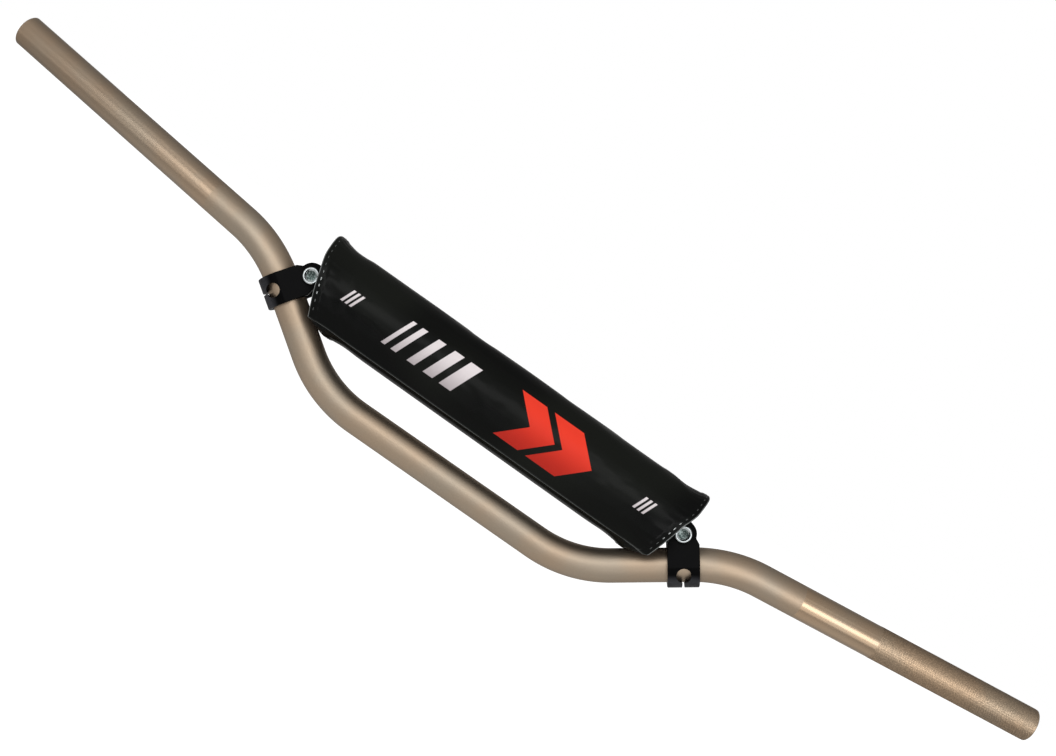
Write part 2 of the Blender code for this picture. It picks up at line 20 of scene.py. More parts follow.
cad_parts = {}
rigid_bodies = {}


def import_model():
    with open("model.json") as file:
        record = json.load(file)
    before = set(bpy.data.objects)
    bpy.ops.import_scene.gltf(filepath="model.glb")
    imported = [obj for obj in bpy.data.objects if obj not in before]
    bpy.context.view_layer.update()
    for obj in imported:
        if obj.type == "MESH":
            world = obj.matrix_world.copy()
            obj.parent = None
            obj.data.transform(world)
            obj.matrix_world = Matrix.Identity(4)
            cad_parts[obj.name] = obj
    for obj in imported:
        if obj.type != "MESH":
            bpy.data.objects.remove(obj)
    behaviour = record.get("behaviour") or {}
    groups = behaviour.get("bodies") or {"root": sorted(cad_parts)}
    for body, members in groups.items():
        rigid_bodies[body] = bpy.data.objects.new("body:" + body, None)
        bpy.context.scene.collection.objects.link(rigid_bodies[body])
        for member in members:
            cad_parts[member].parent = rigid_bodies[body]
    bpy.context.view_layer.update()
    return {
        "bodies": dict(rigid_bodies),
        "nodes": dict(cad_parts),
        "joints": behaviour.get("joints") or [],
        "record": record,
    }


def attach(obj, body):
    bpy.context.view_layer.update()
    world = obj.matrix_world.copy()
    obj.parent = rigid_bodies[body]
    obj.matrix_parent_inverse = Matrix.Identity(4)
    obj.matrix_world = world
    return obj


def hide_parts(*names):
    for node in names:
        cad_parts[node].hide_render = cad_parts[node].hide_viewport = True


LOG = logging.getLogger("handlebar")
MILLIMETRE = 0.001
BODY = "root"
X_AXIS = np.array([1.0, 0.0, 0.0])
Y_AXIS = np.array([0.0, 1.0, 0.0])
FULL_TURN = 2 * math.pi
QUARTER_TURN = math.pi / 2
SHARP_EDGE = math.radians(32.0)
MERGE_DISTANCE = 1e-6
SLIVER = 1e-7
FINE_RELIEF = 0.00001
FINE_COUNT = 2000


class Side(Enum):
    """The two sides of the bar, with the sign of X."""

    LEFT = -1
    RIGHT = 1

    @property
    def label(self) -> str:
        """Return the side's name as it stands in node names."""
        return self.name.lower()


def smooth_step(low: float, high: float, value: np.ndarray) -> np.ndarray:
    """Return 0 below low, 1 above high and an eased rise between, 3t^2 - 2t^3.

    Args:
        low: where the rise starts.
        high: where it ends.
        value: the numbers to map.

    Returns:
        The eased share, in the shape of value.
    """
    share = np.clip((value - low) / (high - low), 0.0, 1.0)
    return share * share * (3.0 - 2.0 * share)


def unit(vectors: np.ndarray) -> np.ndarray:
    """Return vectors scaled to length 1 along their last axis."""
    return vectors / np.linalg.norm(vectors, axis=-1, keepdims=True)


@dataclass
class Surface:
    """A skin of quads over a grid of points.

    Attributes:
        points: rows x columns x 3 places.
        closed_rows: whether the last row joins the first.
        closed_columns: whether the last column joins the first.
        values: extra numbers a point, by attribute name, rows x columns each.
    """

    points: np.ndarray
    closed_rows: bool = False
    closed_columns: bool = True
    values: dict[str, np.ndarray] = field(default_factory=dict)

    def faces(self) -> np.ndarray:
        """Return the quads as indices into the flattened points.

        Returns:
            The quads, four indices each.
        """
        rows, columns = self.points.shape[:2]
        index = np.arange(rows * columns).reshape(rows, columns)
        if self.closed_rows:
            index = np.vstack([index, index[:1]])
        if self.closed_columns:
            index = np.hstack([index, index[:, :1]])
        corners = (index[:-1, :-1], index[:-1, 1:], index[1:, 1:], index[1:, :-1])
        return np.stack(corners, axis=-1).reshape(-1, 4)


def add_object(name: str, data: bpy.types.ID) -> bpy.types.Object:
    """Return a new object for its data, linked to the scene at the origin.

    Args:
        name: the object's name.
        data: its mesh, lamp or camera.

    Returns:
        The object.
    """
    made = bpy.data.objects.new(name, data)
    bpy.context.scene.collection.objects.link(made)
    return made


def weld(mesh: bpy.types.Mesh, sharp: float, new_skin: bool) -> None:
    """Merge a mesh's doubles and shade it smooth up to an angle.

    Args:
        mesh: the mesh.
        sharp: the angle past which an edge stays sharp.
        new_skin: whether slivers are dissolved and faces turned outwards too.
    """
    bm = bmesh.new()
    bm.from_mesh(mesh)
    bmesh.ops.remove_doubles(bm, verts=bm.verts, dist=MERGE_DISTANCE)
    if new_skin:
        bmesh.ops.dissolve_degenerate(bm, edges=bm.edges, dist=SLIVER)
        bmesh.ops.recalc_face_normals(bm, faces=bm.faces)
    bm.to_mesh(mesh)
    bm.free()
    if mesh.has_custom_normals:
        mesh.attributes.remove(mesh.attributes["custom_normal"])
    mesh.shade_smooth()
    mesh.set_sharp_from_angle(angle=sharp)


def build_piece(name: str, surfaces: list[Surface], sharp: float = SHARP_EDGE) -> bpy.types.Object:
    """Make one object from surfaces, with doubles merged and faces pointing out.

    Args:
        name: the piece's name.
        surfaces: the skins that make it up, each closed by itself or by its own seams.
        sharp: the angle past which an edge stays sharp.

    Returns:
        The object, linked to the scene at the origin.
    """
    points = np.concatenate([s.points.reshape(-1, 3) for s in surfaces])
    starts = np.cumsum([0] + [s.points.shape[0] * s.points.shape[1] for s in surfaces])
    faces = np.concatenate([s.faces() + start for s, start in zip(surfaces, starts)])
    mesh = bpy.data.meshes.new(name)
    mesh.from_pydata(points, [], faces)
    for label in surfaces[0].values:
        layer = mesh.attributes.new(label, "FLOAT", "POINT")
        numbers = np.concatenate([s.values[label].ravel() for s in surfaces])
        layer.data.foreach_set("value", numbers.astype(np.float32))
    weld(mesh, sharp, new_skin=True)
    return add_object(name, mesh)


def fine_copy(node: bpy.types.Object, name: str) -> bpy.types.Object:
    """Copy a CAD node's solid, weld its loose triangles and shade its curved faces smooth.

    Args:
        node: the CAD node's object, which is left as it is.
        name: the copy's name.

    Returns:
        The copy, whose flat faces keep flat shading beside rounded edges.
    """
    mesh = node.data.copy()
    mesh.name = name
    mesh.materials.clear()
    weld(mesh, SHARP_EDGE, new_skin=False)
    piece = add_object(name, mesh)
    piece.modifiers.new("face weighting", "WEIGHTED_NORMAL").keep_sharp = True
    return piece


def place(piece: bpy.types.Object, slot: str, material: bpy.types.Material, *nodes: str) -> None:
    """Dress a piece and put it on the part.

    Args:
        piece: the new piece.
        slot: the record's material slot; not used.
        material: what it is drawn with.
        nodes: the CAD nodes that it stands for.
    """
    piece.data.materials.append(material)
    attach(piece, BODY)
    if nodes:
        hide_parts(*nodes)
    LOG.info("%s: %d faces", piece.name, len(piece.data.polygons))


class Signal:
    """A shader socket that takes part in Python arithmetic."""

    def __init__(self, graph: Graph, socket: bpy.types.NodeSocket) -> None:
        """Wrap a socket of a graph."""
        self.graph = graph
        self.socket = socket

    def maths(self, operation: str, *operands: object) -> Signal:
        """Return a Math node's result on the operands."""
        values = dict(enumerate(operands))
        return self.graph.node("ShaderNodeMath", {"operation": operation}, values).signal()

    def swing(self, amount: float) -> Signal:
        """Return an amount times the signal's swing about its middle, 0.5."""
        return amount * (self - 0.5)

    def __add__(self, other: object) -> Signal:
        """Return the sum."""
        return self.maths("ADD", self, other)

    def __radd__(self, other: object) -> Signal:
        """Return the sum with the signal on the right."""
        return self.maths("ADD", other, self)

    def __sub__(self, other: object) -> Signal:
        """Return the difference."""
        return self.maths("SUBTRACT", self, other)

    def __rsub__(self, other: object) -> Signal:
        """Return the difference with the signal on the right."""
        return self.maths("SUBTRACT", other, self)

    def __mul__(self, other: object) -> Signal:
        """Return the product."""
        return self.maths("MULTIPLY", self, other)

    def __rmul__(self, other: object) -> Signal:
        """Return the product with the signal on the right."""
        return self.maths("MULTIPLY", other, self)

    def root(self) -> Signal:
        """Return the square root."""
        return self.maths("SQRT", self)

    def magnitude(self) -> Signal:
        """Return the value without its sign."""
        return self.maths("ABSOLUTE", self)

    def most(self, other: object) -> Signal:
        """Return the larger of two values."""
        return self.maths("MAXIMUM", self, other)

    def rise(self, low: float, high: float) -> Signal:
        """Return 0 below low and 1 above high, or the reverse where low is the larger.

        Args:
            low: where the rise starts.
            high: where it ends.

        Returns:
            The share.
        """
        settings = {"interpolation_type": "SMOOTHSTEP"}
        values = {"Value": self, "From Min": low, "From Max": high}
        return self.graph.node("ShaderNodeMapRange", settings, values).signal("Result")

    def within(self, low: float, high: float, edge: float) -> Signal:
        """Return 1 between two limits and 0 outside, with soft edges."""
        return self.rise(low - edge, low + edge) * self.rise(high + edge, high - edge)


class NodeHandle:
    """A made node, whose outputs are read as signals."""

    def __init__(self, graph: Graph, node: bpy.types.Node) -> None:
        """Keep the node with its graph."""
        self.graph = graph
        self.node = node

    def signal(self, output: int | str = 0) -> Signal:
        """Return one output as a signal."""
        return Signal(self.graph, self.node.outputs[output])


class Graph:
    """A node tree that is written as expressions."""

    def __init__(self, tree: bpy.types.NodeTree) -> None:
        """Start an empty tree."""
        self.tree = tree
        tree.nodes.clear()

    def node(self, kind: str, settings: dict | None = None,
             values: dict | None = None) -> NodeHandle:
        """Make a node.

        Args:
            kind: the node's type.
            settings: its own settings, set first; "stops" gives a ramp's (place, colour) pairs.
            values: numbers, colours or signals for its sockets, by name or index.

        Returns:
            The node.
        """
        made = self.tree.nodes.new(kind)
        for label, value in (settings or {}).items():
            if label == "stops":
                self.set_stops(made.color_ramp, value)
            else:
                setattr(made, label, value)
        for label, value in (values or {}).items():
            if isinstance(value, Signal):
                self.tree.links.new(value.socket, made.inputs[label])
            else:
                made.inputs[label].default_value = value
        return NodeHandle(self, made)

    @staticmethod
    def set_stops(ramp: bpy.types.ColorRamp, stops: list[tuple[float, tuple]]) -> None:
        """Give a ramp its stops."""
        for element, (position, colour) in zip(ramp.elements, stops):
            element.position = position
            element.color = colour
        for position, colour in stops[len(ramp.elements):]:
            ramp.elements.new(position).color = colour

    def position(self) -> Signal:
        """Return the point in Object coordinates."""
        return self.node("ShaderNodeTexCoord").signal("Object")

    def axes(self) -> tuple[Signal, Signal, Signal]:
        """Return the three Object coordinates."""
        split = self.node("ShaderNodeSeparateXYZ", None, {"Vector": self.position()})
        return split.signal("X"), split.signal("Y"), split.signal("Z")

    def attribute(self, label: str) -> Signal:
        """Return a mesh attribute's value."""
        return self.node("ShaderNodeAttribute", {"attribute_name": label}).signal("Fac")

    def stretched(self, scale: tuple[float, float, float]) -> Signal:
        """Return Object coordinates stretched along each axis."""
        return self.node("ShaderNodeMapping", None,
                         {"Vector": self.position(), "Scale": scale}).signal()

    def noise(self, scale: float, detail: float = 2.0, where: Signal | None = None) -> Signal:
        """Return cloudy noise from 0 to 1.

        Args:
            scale: cells a metre.
            detail: octaves of finer noise.
            where: the coordinates, Object coordinates if left out.

        Returns:
            The noise.
        """
        vector = where or self.position()
        return self.node("ShaderNodeTexNoise", None,
                         {"Vector": vector, "Scale": scale, "Detail": detail}).signal(0)

    def mix(self, share: object, first: object, second: object, blend: str = "MIX") -> Signal:
        """Return a colour between two, by a share, or their blend where one is named."""
        return self.node("ShaderNodeMix", {"data_type": "RGBA", "blend_type": blend},
                         {0: share, 6: first, 7: second}).signal(2)

    def tint(self, tone: Signal, tint: Signal, share: object = 1.0) -> Signal:
        """Return a colour multiplied by a tint, by a share."""
        return self.mix(share, tone, tint, "MULTIPLY")

    def bump(self, height: Signal, depth: float, strength: float = 1.0) -> Signal:
        """Return a normal bumped by a height of up to depth metres."""
        return self.node("ShaderNodeBump", None,
                         {"Height": height, "Distance": depth, "Strength": strength}).signal()

    def fine_bump(self, grain: Signal) -> Signal:
        """Return a normal with the slight relief of a worked metal's grain."""
        return self.bump(grain, FINE_RELIEF, 0.5)

    def shown_rays(self) -> Signal:
        """Return 1 for the rays that show the backdrop: camera, glossy and transmission rays.

        Returns:
            The mask.
        """
        rays = self.node("ShaderNodeLightPath")
        seen = rays.signal("Is Camera Ray").most(rays.signal("Is Glossy Ray"))
        return seen.most(rays.signal("Is Transmission Ray"))

    def principled(self, **sockets: object) -> None:
        """End the tree in a Principled shader; underscores stand for spaces in socket names.

        Args:
            sockets: numbers, colours or signals by socket.
        """
        values = {label.replace("_", " "): value for label, value in sockets.items()}
        shader = self.node("ShaderNodeBsdfPrincipled", None, values)
        self.node("ShaderNodeOutputMaterial", None, {"Surface": shader.signal()})


def colour(red: float, green: float, blue: float) -> tuple[float, float, float, float]:
    """Return an opaque linear colour."""
    return red, green, blue, 1.0


def scaled(tone: tuple, factor: float) -> tuple[float, float, float, float]:
    """Return an opaque colour with its parts times a factor, none past 1."""
    return colour(*(min(1.0, factor * part) for part in tone[:3]))


@dataclass(frozen=True)
class Finish:
    """A finish whose material is named and whose graph is drawn by its own method."""

    name: str

    def material(self) -> bpy.types.Material:
        """Return the finish as a new material.

        Returns:
            The material.
        """
        made = bpy.data.materials.new(self.name)
        made.use_nodes = True
        self.draw(Graph(made.node_tree))
        return made

    def draw(self, graph: Graph) -> None:
        """Draw the finish; each kind has its own way."""
        raise NotImplementedError


@dataclass(frozen=True)
class BronzeTubeFinish(Finish):
    """Anodised tube: bead-blasted in the middle, satin, polished and knurled towards the ends.

    The attribute "along" gives the distance along the tube from its middle, in metres.
    """

    satin_start: float = 0.0
    polish_start: float = 0.0
    knurl_start: float = 0.0
    blasted: tuple = colour(0.347, 0.279, 0.211)
    satin: tuple = colour(0.35, 0.272, 0.200)
    polished: tuple = colour(0.39, 0.295, 0.208)
    warm: tuple = colour(1.03, 0.99, 0.95)
    cool: tuple = colour(0.96, 1.0, 1.03)
    dim: tuple = colour(0.94, 0.94, 0.94)
    lit: tuple = colour(1.05, 1.05, 1.05)
    # Painted shade and painted glints, in random specks over the knurl.
    valley: tuple = colour(0.81, 0.81, 0.81)
    painted_glint: tuple = colour(1.12, 1.11, 1.09)
    boundary: float = 0.0002
    relief: float = 0.00002
    cloud_cells: float = 28.0
    speck_cells: float = 900.0
    painted_sparkle_cells: float = 1150.0
    turning_cells: float = 5200.0
    grain_cells: float = 3600.0
    roughness: float = 0.46
    satin_smoother: float = 0.13
    polish_smoother: float = 0.23
    knurl_rougher: float = 0.14
    cloud_rougher: float = 0.05
    satin_turned: float = 0.2

    def draw(self, graph: Graph) -> None:
        """Draw zones, grain, turning lines, colour variation, and painted glints and shade on the
        knurl.

        Args:
            graph: the material's tree.
        """
        along = graph.attribute("along")
        left = along.rise(-self.satin_start + self.boundary, -self.satin_start - self.boundary)
        right = along.rise(self.polish_start - self.boundary, self.polish_start + self.boundary)
        knurl = along.rise(self.knurl_start - self.boundary, self.knurl_start + self.boundary)
        cloud = graph.noise(self.cloud_cells, 3.0)
        speck = graph.noise(self.speck_cells)
        tone = graph.mix(left, self.blasted, self.satin)
        tone = graph.mix(right, tone, self.polished)
        tone = graph.tint(tone, graph.mix(cloud.rise(0.35, 0.7), self.warm, self.cool))
        tone = graph.tint(tone, graph.mix(speck, self.dim, self.lit))
        # Painted glints: random specks over the knurl are lighter, the rest darker as painted
        # shade.
        painted_sparkle = graph.noise(self.painted_sparkle_cells, 1.0).rise(0.38, 0.66) * knurl
        tone = graph.tint(tone, graph.mix(painted_sparkle, self.valley, self.painted_glint), knurl)
        rough = self.roughness - self.satin_smoother * left - self.polish_smoother * right
        rough = rough + self.knurl_rougher * knurl + cloud.swing(self.cloud_rougher)
        turning = graph.node("ShaderNodeTexNoise", {"noise_dimensions": "1D"},
                             {"W": along, "Scale": self.turning_cells, "Detail": 3.0}).signal(0)
        turned = (self.satin_turned * left).most(right)
        height = graph.noise(self.grain_cells, 1.0) * (1.0 - turned) + turning * turned
        graph.principled(Base_Color=tone, Metallic=1.0, Roughness=rough,
                         Normal=graph.bump(height, self.relief, 0.35))


@dataclass(frozen=True)
class PlainMetalFinish(Finish):
    """A hard material of one colour with fine grain, brushed along an axis where stretched."""

    base: tuple = colour(0.6, 0.6, 0.6)
    roughness: float = 0.3
    metallic: float = 1.0
    grain: float = 1500.0
    stretch: tuple = (1.0, 1.0, 1.0)
    cloud_cells: float = 120.0
    darkest: float = 0.86
    palest: float = 1.1
    grain_rougher: float = 0.14
    cloud_rougher: float = 0.08

    def draw(self, graph: Graph) -> None:
        """Draw the material with its grain in tone, roughness and relief.

        Args:
            graph: the material's tree.
        """
        grain = graph.noise(self.grain, 3.0, graph.stretched(self.stretch))
        cloud = graph.noise(self.cloud_cells)
        tone = graph.mix(cloud, scaled(self.base, self.darkest), scaled(self.base, self.palest))
        rough = self.roughness + grain.swing(self.grain_rougher) + cloud.swing(self.cloud_rougher)
        graph.principled(Base_Color=tone, Roughness=rough, Metallic=self.metallic,
                         Normal=graph.fine_bump(grain))


@dataclass(frozen=True)
class StrapFinish(Finish):
    """Black anodised aluminium: deep black, with a painted reflection of grey under the tube."""

    half_span: float = 0.0
    riser_angle: float = 0.0
    base: tuple = colour(0.0008, 0.0008, 0.0010)
    # Painted reflection: its grey, and where it starts and ends below the riser's axis.
    painted_reflection_grey: tuple = colour(0.034, 0.034, 0.038)
    reflection_start: float = -0.0050
    reflection_end: float = -0.0105
    grain_cells: float = 2500.0
    cloud_cells: float = 150.0
    roughness: float = 0.30
    grain_rougher: float = 0.12
    cloud_rougher: float = 0.08
    shine: float = 0.035

    def draw(self, graph: Graph) -> None:
        """Draw the painted reflection by height off the riser's axis, -(|x| - span) sin + z cos.

        Args:
            graph: the material's tree.
        """
        x, _, z = graph.axes()
        across = (x.magnitude() - self.half_span) * math.sin(self.riser_angle)
        height = z * math.cos(self.riser_angle) - across
        grain = graph.noise(self.grain_cells, 3.0)
        cloud = graph.noise(self.cloud_cells, 3.0)
        # Painted reflection: the strap turns grey under the tube, in cloudy patches, as if it
        # mirrored bright surroundings.
        reflection_share = height.rise(self.reflection_start, self.reflection_end) * cloud.rise(0.1, 0.6)
        tone = graph.mix(reflection_share, self.base, self.painted_reflection_grey)
        rough = self.roughness + grain.swing(self.grain_rougher) + cloud.swing(self.cloud_rougher)
        graph.principled(Base_Color=tone, Roughness=rough, Normal=graph.fine_bump(grain),
                         Specular_IOR_Level=self.shine)


@dataclass(frozen=True)
class ZincFinish(Finish):
    """Bright zinc plating; darker in the bolts' sockets, partly oil and partly painted shade."""

    bolt_x: float = 0.0
    bolt_z: float = 0.0
    recess_radius: float = 0.0034
    recess_front: float = -0.0157
    recess_back: float = -0.0110
    base: tuple = colour(0.44, 0.47, 0.48)
    dull: tuple = colour(0.52, 0.56, 0.57)
    # The socket recess's two dark tones: oil and painted shade.
    oil_and_shade: tuple = colour(0.034, 0.048, 0.045)
    bare_steel_and_shade: tuple = colour(0.16, 0.19, 0.185)
    edge: float = 0.0002
    cloud_cells: float = 260.0
    grain_cells: float = 900.0
    oil_cells: float = 1100.0
    roughness: float = 0.20
    grain_rougher: float = 0.14
    socket_rougher: float = 0.15

    def draw(self, graph: Graph) -> None:
        """Draw cloud and grain, and the recess's oil and painted shade by distance from the axis.

        Args:
            graph: the material's tree.
        """
        x, y, z = graph.axes()
        across = x.magnitude() - self.bolt_x
        up = z - self.bolt_z
        radius = (across * across + up * up).root()
        # The recess mask: inside it the zinc is darkened, partly oil and partly painted shade.
        inside = radius.rise(self.recess_radius + self.edge, self.recess_radius - self.edge)
        inside = inside * y.within(self.recess_front, self.recess_back, self.edge)
        cloud = graph.noise(self.cloud_cells, 3.0)
        grain = graph.noise(self.grain_cells, 3.0)
        tone = graph.mix(cloud, self.dull, self.base)
        # Painted shade in the socket recess, mixed with oil in random spots.
        oil = graph.noise(self.oil_cells).rise(0.46, 0.62)
        tone = graph.mix(inside, tone, graph.mix(oil, self.oil_and_shade, self.bare_steel_and_shade))
        rough = self.roughness + grain.swing(self.grain_rougher) + self.socket_rougher * inside
        graph.principled(Base_Color=tone, Roughness=rough, Metallic=1.0,
                         Normal=graph.fine_bump(grain))


@dataclass(frozen=True)
class FoamFinish(Finish):
    """Closed-cell foam: dull, with small cells."""

    base: tuple = colour(0.03, 0.03, 0.033)
    cell: float = 1300.0
    pit: float = 0.00015
    wall_width: float = 0.25
    paler: float = 2.2
    roughness: float = 0.95

    def draw(self, graph: Graph) -> None:
        """Draw the cells as shallow pits with paler walls.

        Args:
            graph: the material's tree.
        """
        cells = graph.node("ShaderNodeTexVoronoi", {"feature": "DISTANCE_TO_EDGE"},
                           {"Vector": graph.position(), "Scale": self.cell}).signal("Distance")
        wall = cells.rise(self.wall_width, 0.0)
        tone = graph.mix(wall, self.base, scaled(self.base, self.paler))
        graph.principled(Base_Color=tone, Roughness=self.roughness,
                         Normal=graph.bump(wall, self.pit, 0.8))


@dataclass(frozen=True)
class TapeFinish(Finish):
    """Hook or loop tape: black nylon with a nap."""

    base: tuple = colour(0.012, 0.012, 0.014)
    nap: float = 2600.0
    pile: float = 0.0004
    paler: float = 3.0
    roughness: float = 0.9

    def draw(self, graph: Graph) -> None:
        """Draw the nap as deep fine noise.

        Args:
            graph: the material's tree.
        """
        nap = graph.noise(self.nap)
        tone = graph.mix(nap.rise(0.4, 0.75), self.base, scaled(self.base, self.paler))
        graph.principled(Base_Color=tone, Roughness=self.roughness,
                         Normal=graph.bump(nap, self.pile))


@dataclass(frozen=True)
class ThreadFinish(Finish):
    """Pale sewing thread with a twist, painted dark as shade above and below part of the hem."""

    base: tuple = colour(0.52, 0.55, 0.54)
    # Painted shade: the thread's colour outside the pale stretch, and the heights of that stretch.
    painted_thread_shade: tuple = colour(0.035, 0.037, 0.036)
    pale_low: float = 0.0500
    pale_high: float = 0.0655
    pale_edge: float = 0.0035
    twist_depth: float = 0.00005
    twist_cells: float = 4200.0
    twist_shade: float = 0.6
    roughness: float = 0.6

    def draw(self, graph: Graph) -> None:
        """Draw the twist as noise along the thread; pale over a stretch of height, painted shade
        elsewhere.

        Args:
            graph: the material's tree.
        """
        twist = graph.noise(self.twist_cells)
        # Painted shade: outside this stretch of height the stitches are made near black.
        pale_stretch = graph.axes()[2].within(self.pale_low, self.pale_high, self.pale_edge)
        tone = graph.mix(twist, scaled(self.base, self.twist_shade), self.base)
        tone = graph.mix(pale_stretch, self.painted_thread_shade, tone)
        graph.principled(Base_Color=tone, Roughness=self.roughness,
                         Normal=graph.bump(twist, self.twist_depth))


@dataclass(frozen=True)
class VinylFinish(Finish):
    """Black coated vinyl with a printed generic design on its front.

    The attribute "outside" is 1 on the coated face and 0 on the knitted backing, and "rim" is
    the share of pale colour along the cut edges, partly backing and partly painted highlight.
    """

    middle: float = 0.0
    askew: float = 0.0
    base: tuple = colour(0.0058, 0.0066, 0.0052)
    # The deeper black of the broad patches of painted shade.
    deep: tuple = colour(0.0016, 0.0019, 0.0017)
    backing: tuple = colour(0.02, 0.02, 0.02)
    # The cut edges' pale grey: partly the knitted backing, partly a painted highlight.
    rim: tuple = colour(0.20, 0.21, 0.205)
    red: tuple = colour(0.80, 0.045, 0.022)
    deep_red: tuple = colour(0.42, 0.02, 0.012)
    silver: tuple = colour(0.76, 0.70, 0.71)
    deep_silver: tuple = colour(0.36, 0.32, 0.33)
    edge: float = 0.00018
    grain_depth: float = 0.00003
    front_band: tuple = (-0.006, -0.010)
    fade_band: tuple = (-0.016, 0.012)
    shade_patch_cells: float = 9.0
    shade_patch_stretch: tuple = (1.0, 0.4, 1.6)
    rim_patch_cells: float = 160.0
    cloud_cells: float = 45.0
    leather_cells: float = 1500.0
    roughness: float = 0.25
    cloud_rougher: float = 0.08
    print_rougher: float = 0.12
    backing_rougher: float = 0.55
    shine: float = 0.075
    first_bar: tuple = (-0.078, 0.0030)
    wide_bars: tuple = (-0.0705, 0.0042)
    bar_step: float = 0.0125
    bar_growth: float = 0.0016
    bar_heights: tuple = (-0.0105, 0.0120)
    dash_centre: float = 0.113
    dash_start: float = 0.0045
    dash_step: float = 0.0034
    dash_width: float = 0.0018
    dash_heights: tuple = (-0.0035, 0.0065)
    bar_lean: float = 0.42
    chevrons: tuple = ((0.045, 0.019), (0.0735, 0.0225))
    chevron_reach: float = 0.0165
    chevron_slope: float = 1.05

    def slanted_bars(self, x: Signal, up: Signal) -> Signal:
        """Return the mask of the leaning bars, wider by turns, and of three dashes at each end.

        Args:
            x: the place along the bar.
            up: the height above the design's middle.

        Returns:
            1 inside a bar or a dash and 0 outside.
        """
        across = x - up * self.bar_lean
        first, width = self.wide_bars
        bars = [(*self.first_bar, self.bar_heights)]
        bars += [(first + number * self.bar_step, width + self.bar_growth * number,
                  self.bar_heights) for number in range(4)]
        bars += [(side * self.dash_centre - self.dash_start + number * self.dash_step,
                  self.dash_width, self.dash_heights) for side in (-1, 1) for number in range(3)]
        masks = [across.within(left, left + wide, self.edge) * up.within(low, high, self.edge)
                 for left, wide, (low, high) in bars]
        return reduce(Signal.most, masks)

    def chevron(self, x: Signal, up: Signal, tip: float, width: float) -> Signal:
        """Return the mask of a chevron that points to the right.

        Args:
            x: the place along the bar.
            up: the height above the design's middle.
            tip: the tip's place.
            width: its width along the bar.

        Returns:
            1 inside the chevron and 0 outside.
        """
        swept = x + up.magnitude() * self.chevron_slope
        reach = self.chevron_reach
        return swept.within(tip - width, tip, self.edge) * up.within(-reach, reach, self.edge)

    def draw(self, graph: Graph) -> None:
        """Draw the vinyl's fine grain, the print, the backing, the pale rim and patches of painted
        shade.

        Args:
            graph: the material's tree.
        """
        x, y, z = graph.axes()
        up = z - self.middle - self.askew * x
        outside = graph.attribute("outside")
        front = y.rise(*self.front_band) * outside
        silver = self.slanted_bars(x, up)
        red = reduce(Signal.most, [self.chevron(x, up, *shape) for shape in self.chevrons])
        fade = up.rise(*self.fade_band)
        # Painted shade: broad random patches make the black deeper.
        shade_patches = graph.noise(self.shade_patch_cells, 1.0, graph.stretched(self.shade_patch_stretch))
        black = graph.mix(shade_patches.rise(0.42, 0.6), self.deep, self.base)
        tone = graph.mix(outside, self.backing, black)
        # Pale cut edges in patches: partly backing worn through, partly a painted highlight on the
        # edges.
        rim_wear_and_highlight = graph.attribute("rim") * graph.noise(self.rim_patch_cells, 3.0).rise(0.05, 0.5)
        tone = graph.mix(rim_wear_and_highlight, tone, self.rim)
        tone = graph.mix(silver * front, tone, graph.mix(fade, self.deep_silver, self.silver))
        tone = graph.mix(red * front, tone, graph.mix(fade, self.deep_red, self.red))
        printed = silver.most(red) * front
        cloud = graph.noise(self.cloud_cells, 3.0)
        rough = self.roughness + cloud.swing(self.cloud_rougher) + self.print_rougher * printed
        rough = rough + self.backing_rougher * (1.0 - outside)
        leather = graph.noise(self.leather_cells)
        graph.principled(Base_Color=tone, Roughness=rough, Specular_IOR_Level=self.shine,
                         Normal=graph.bump(leather, self.grain_depth, 0.35))


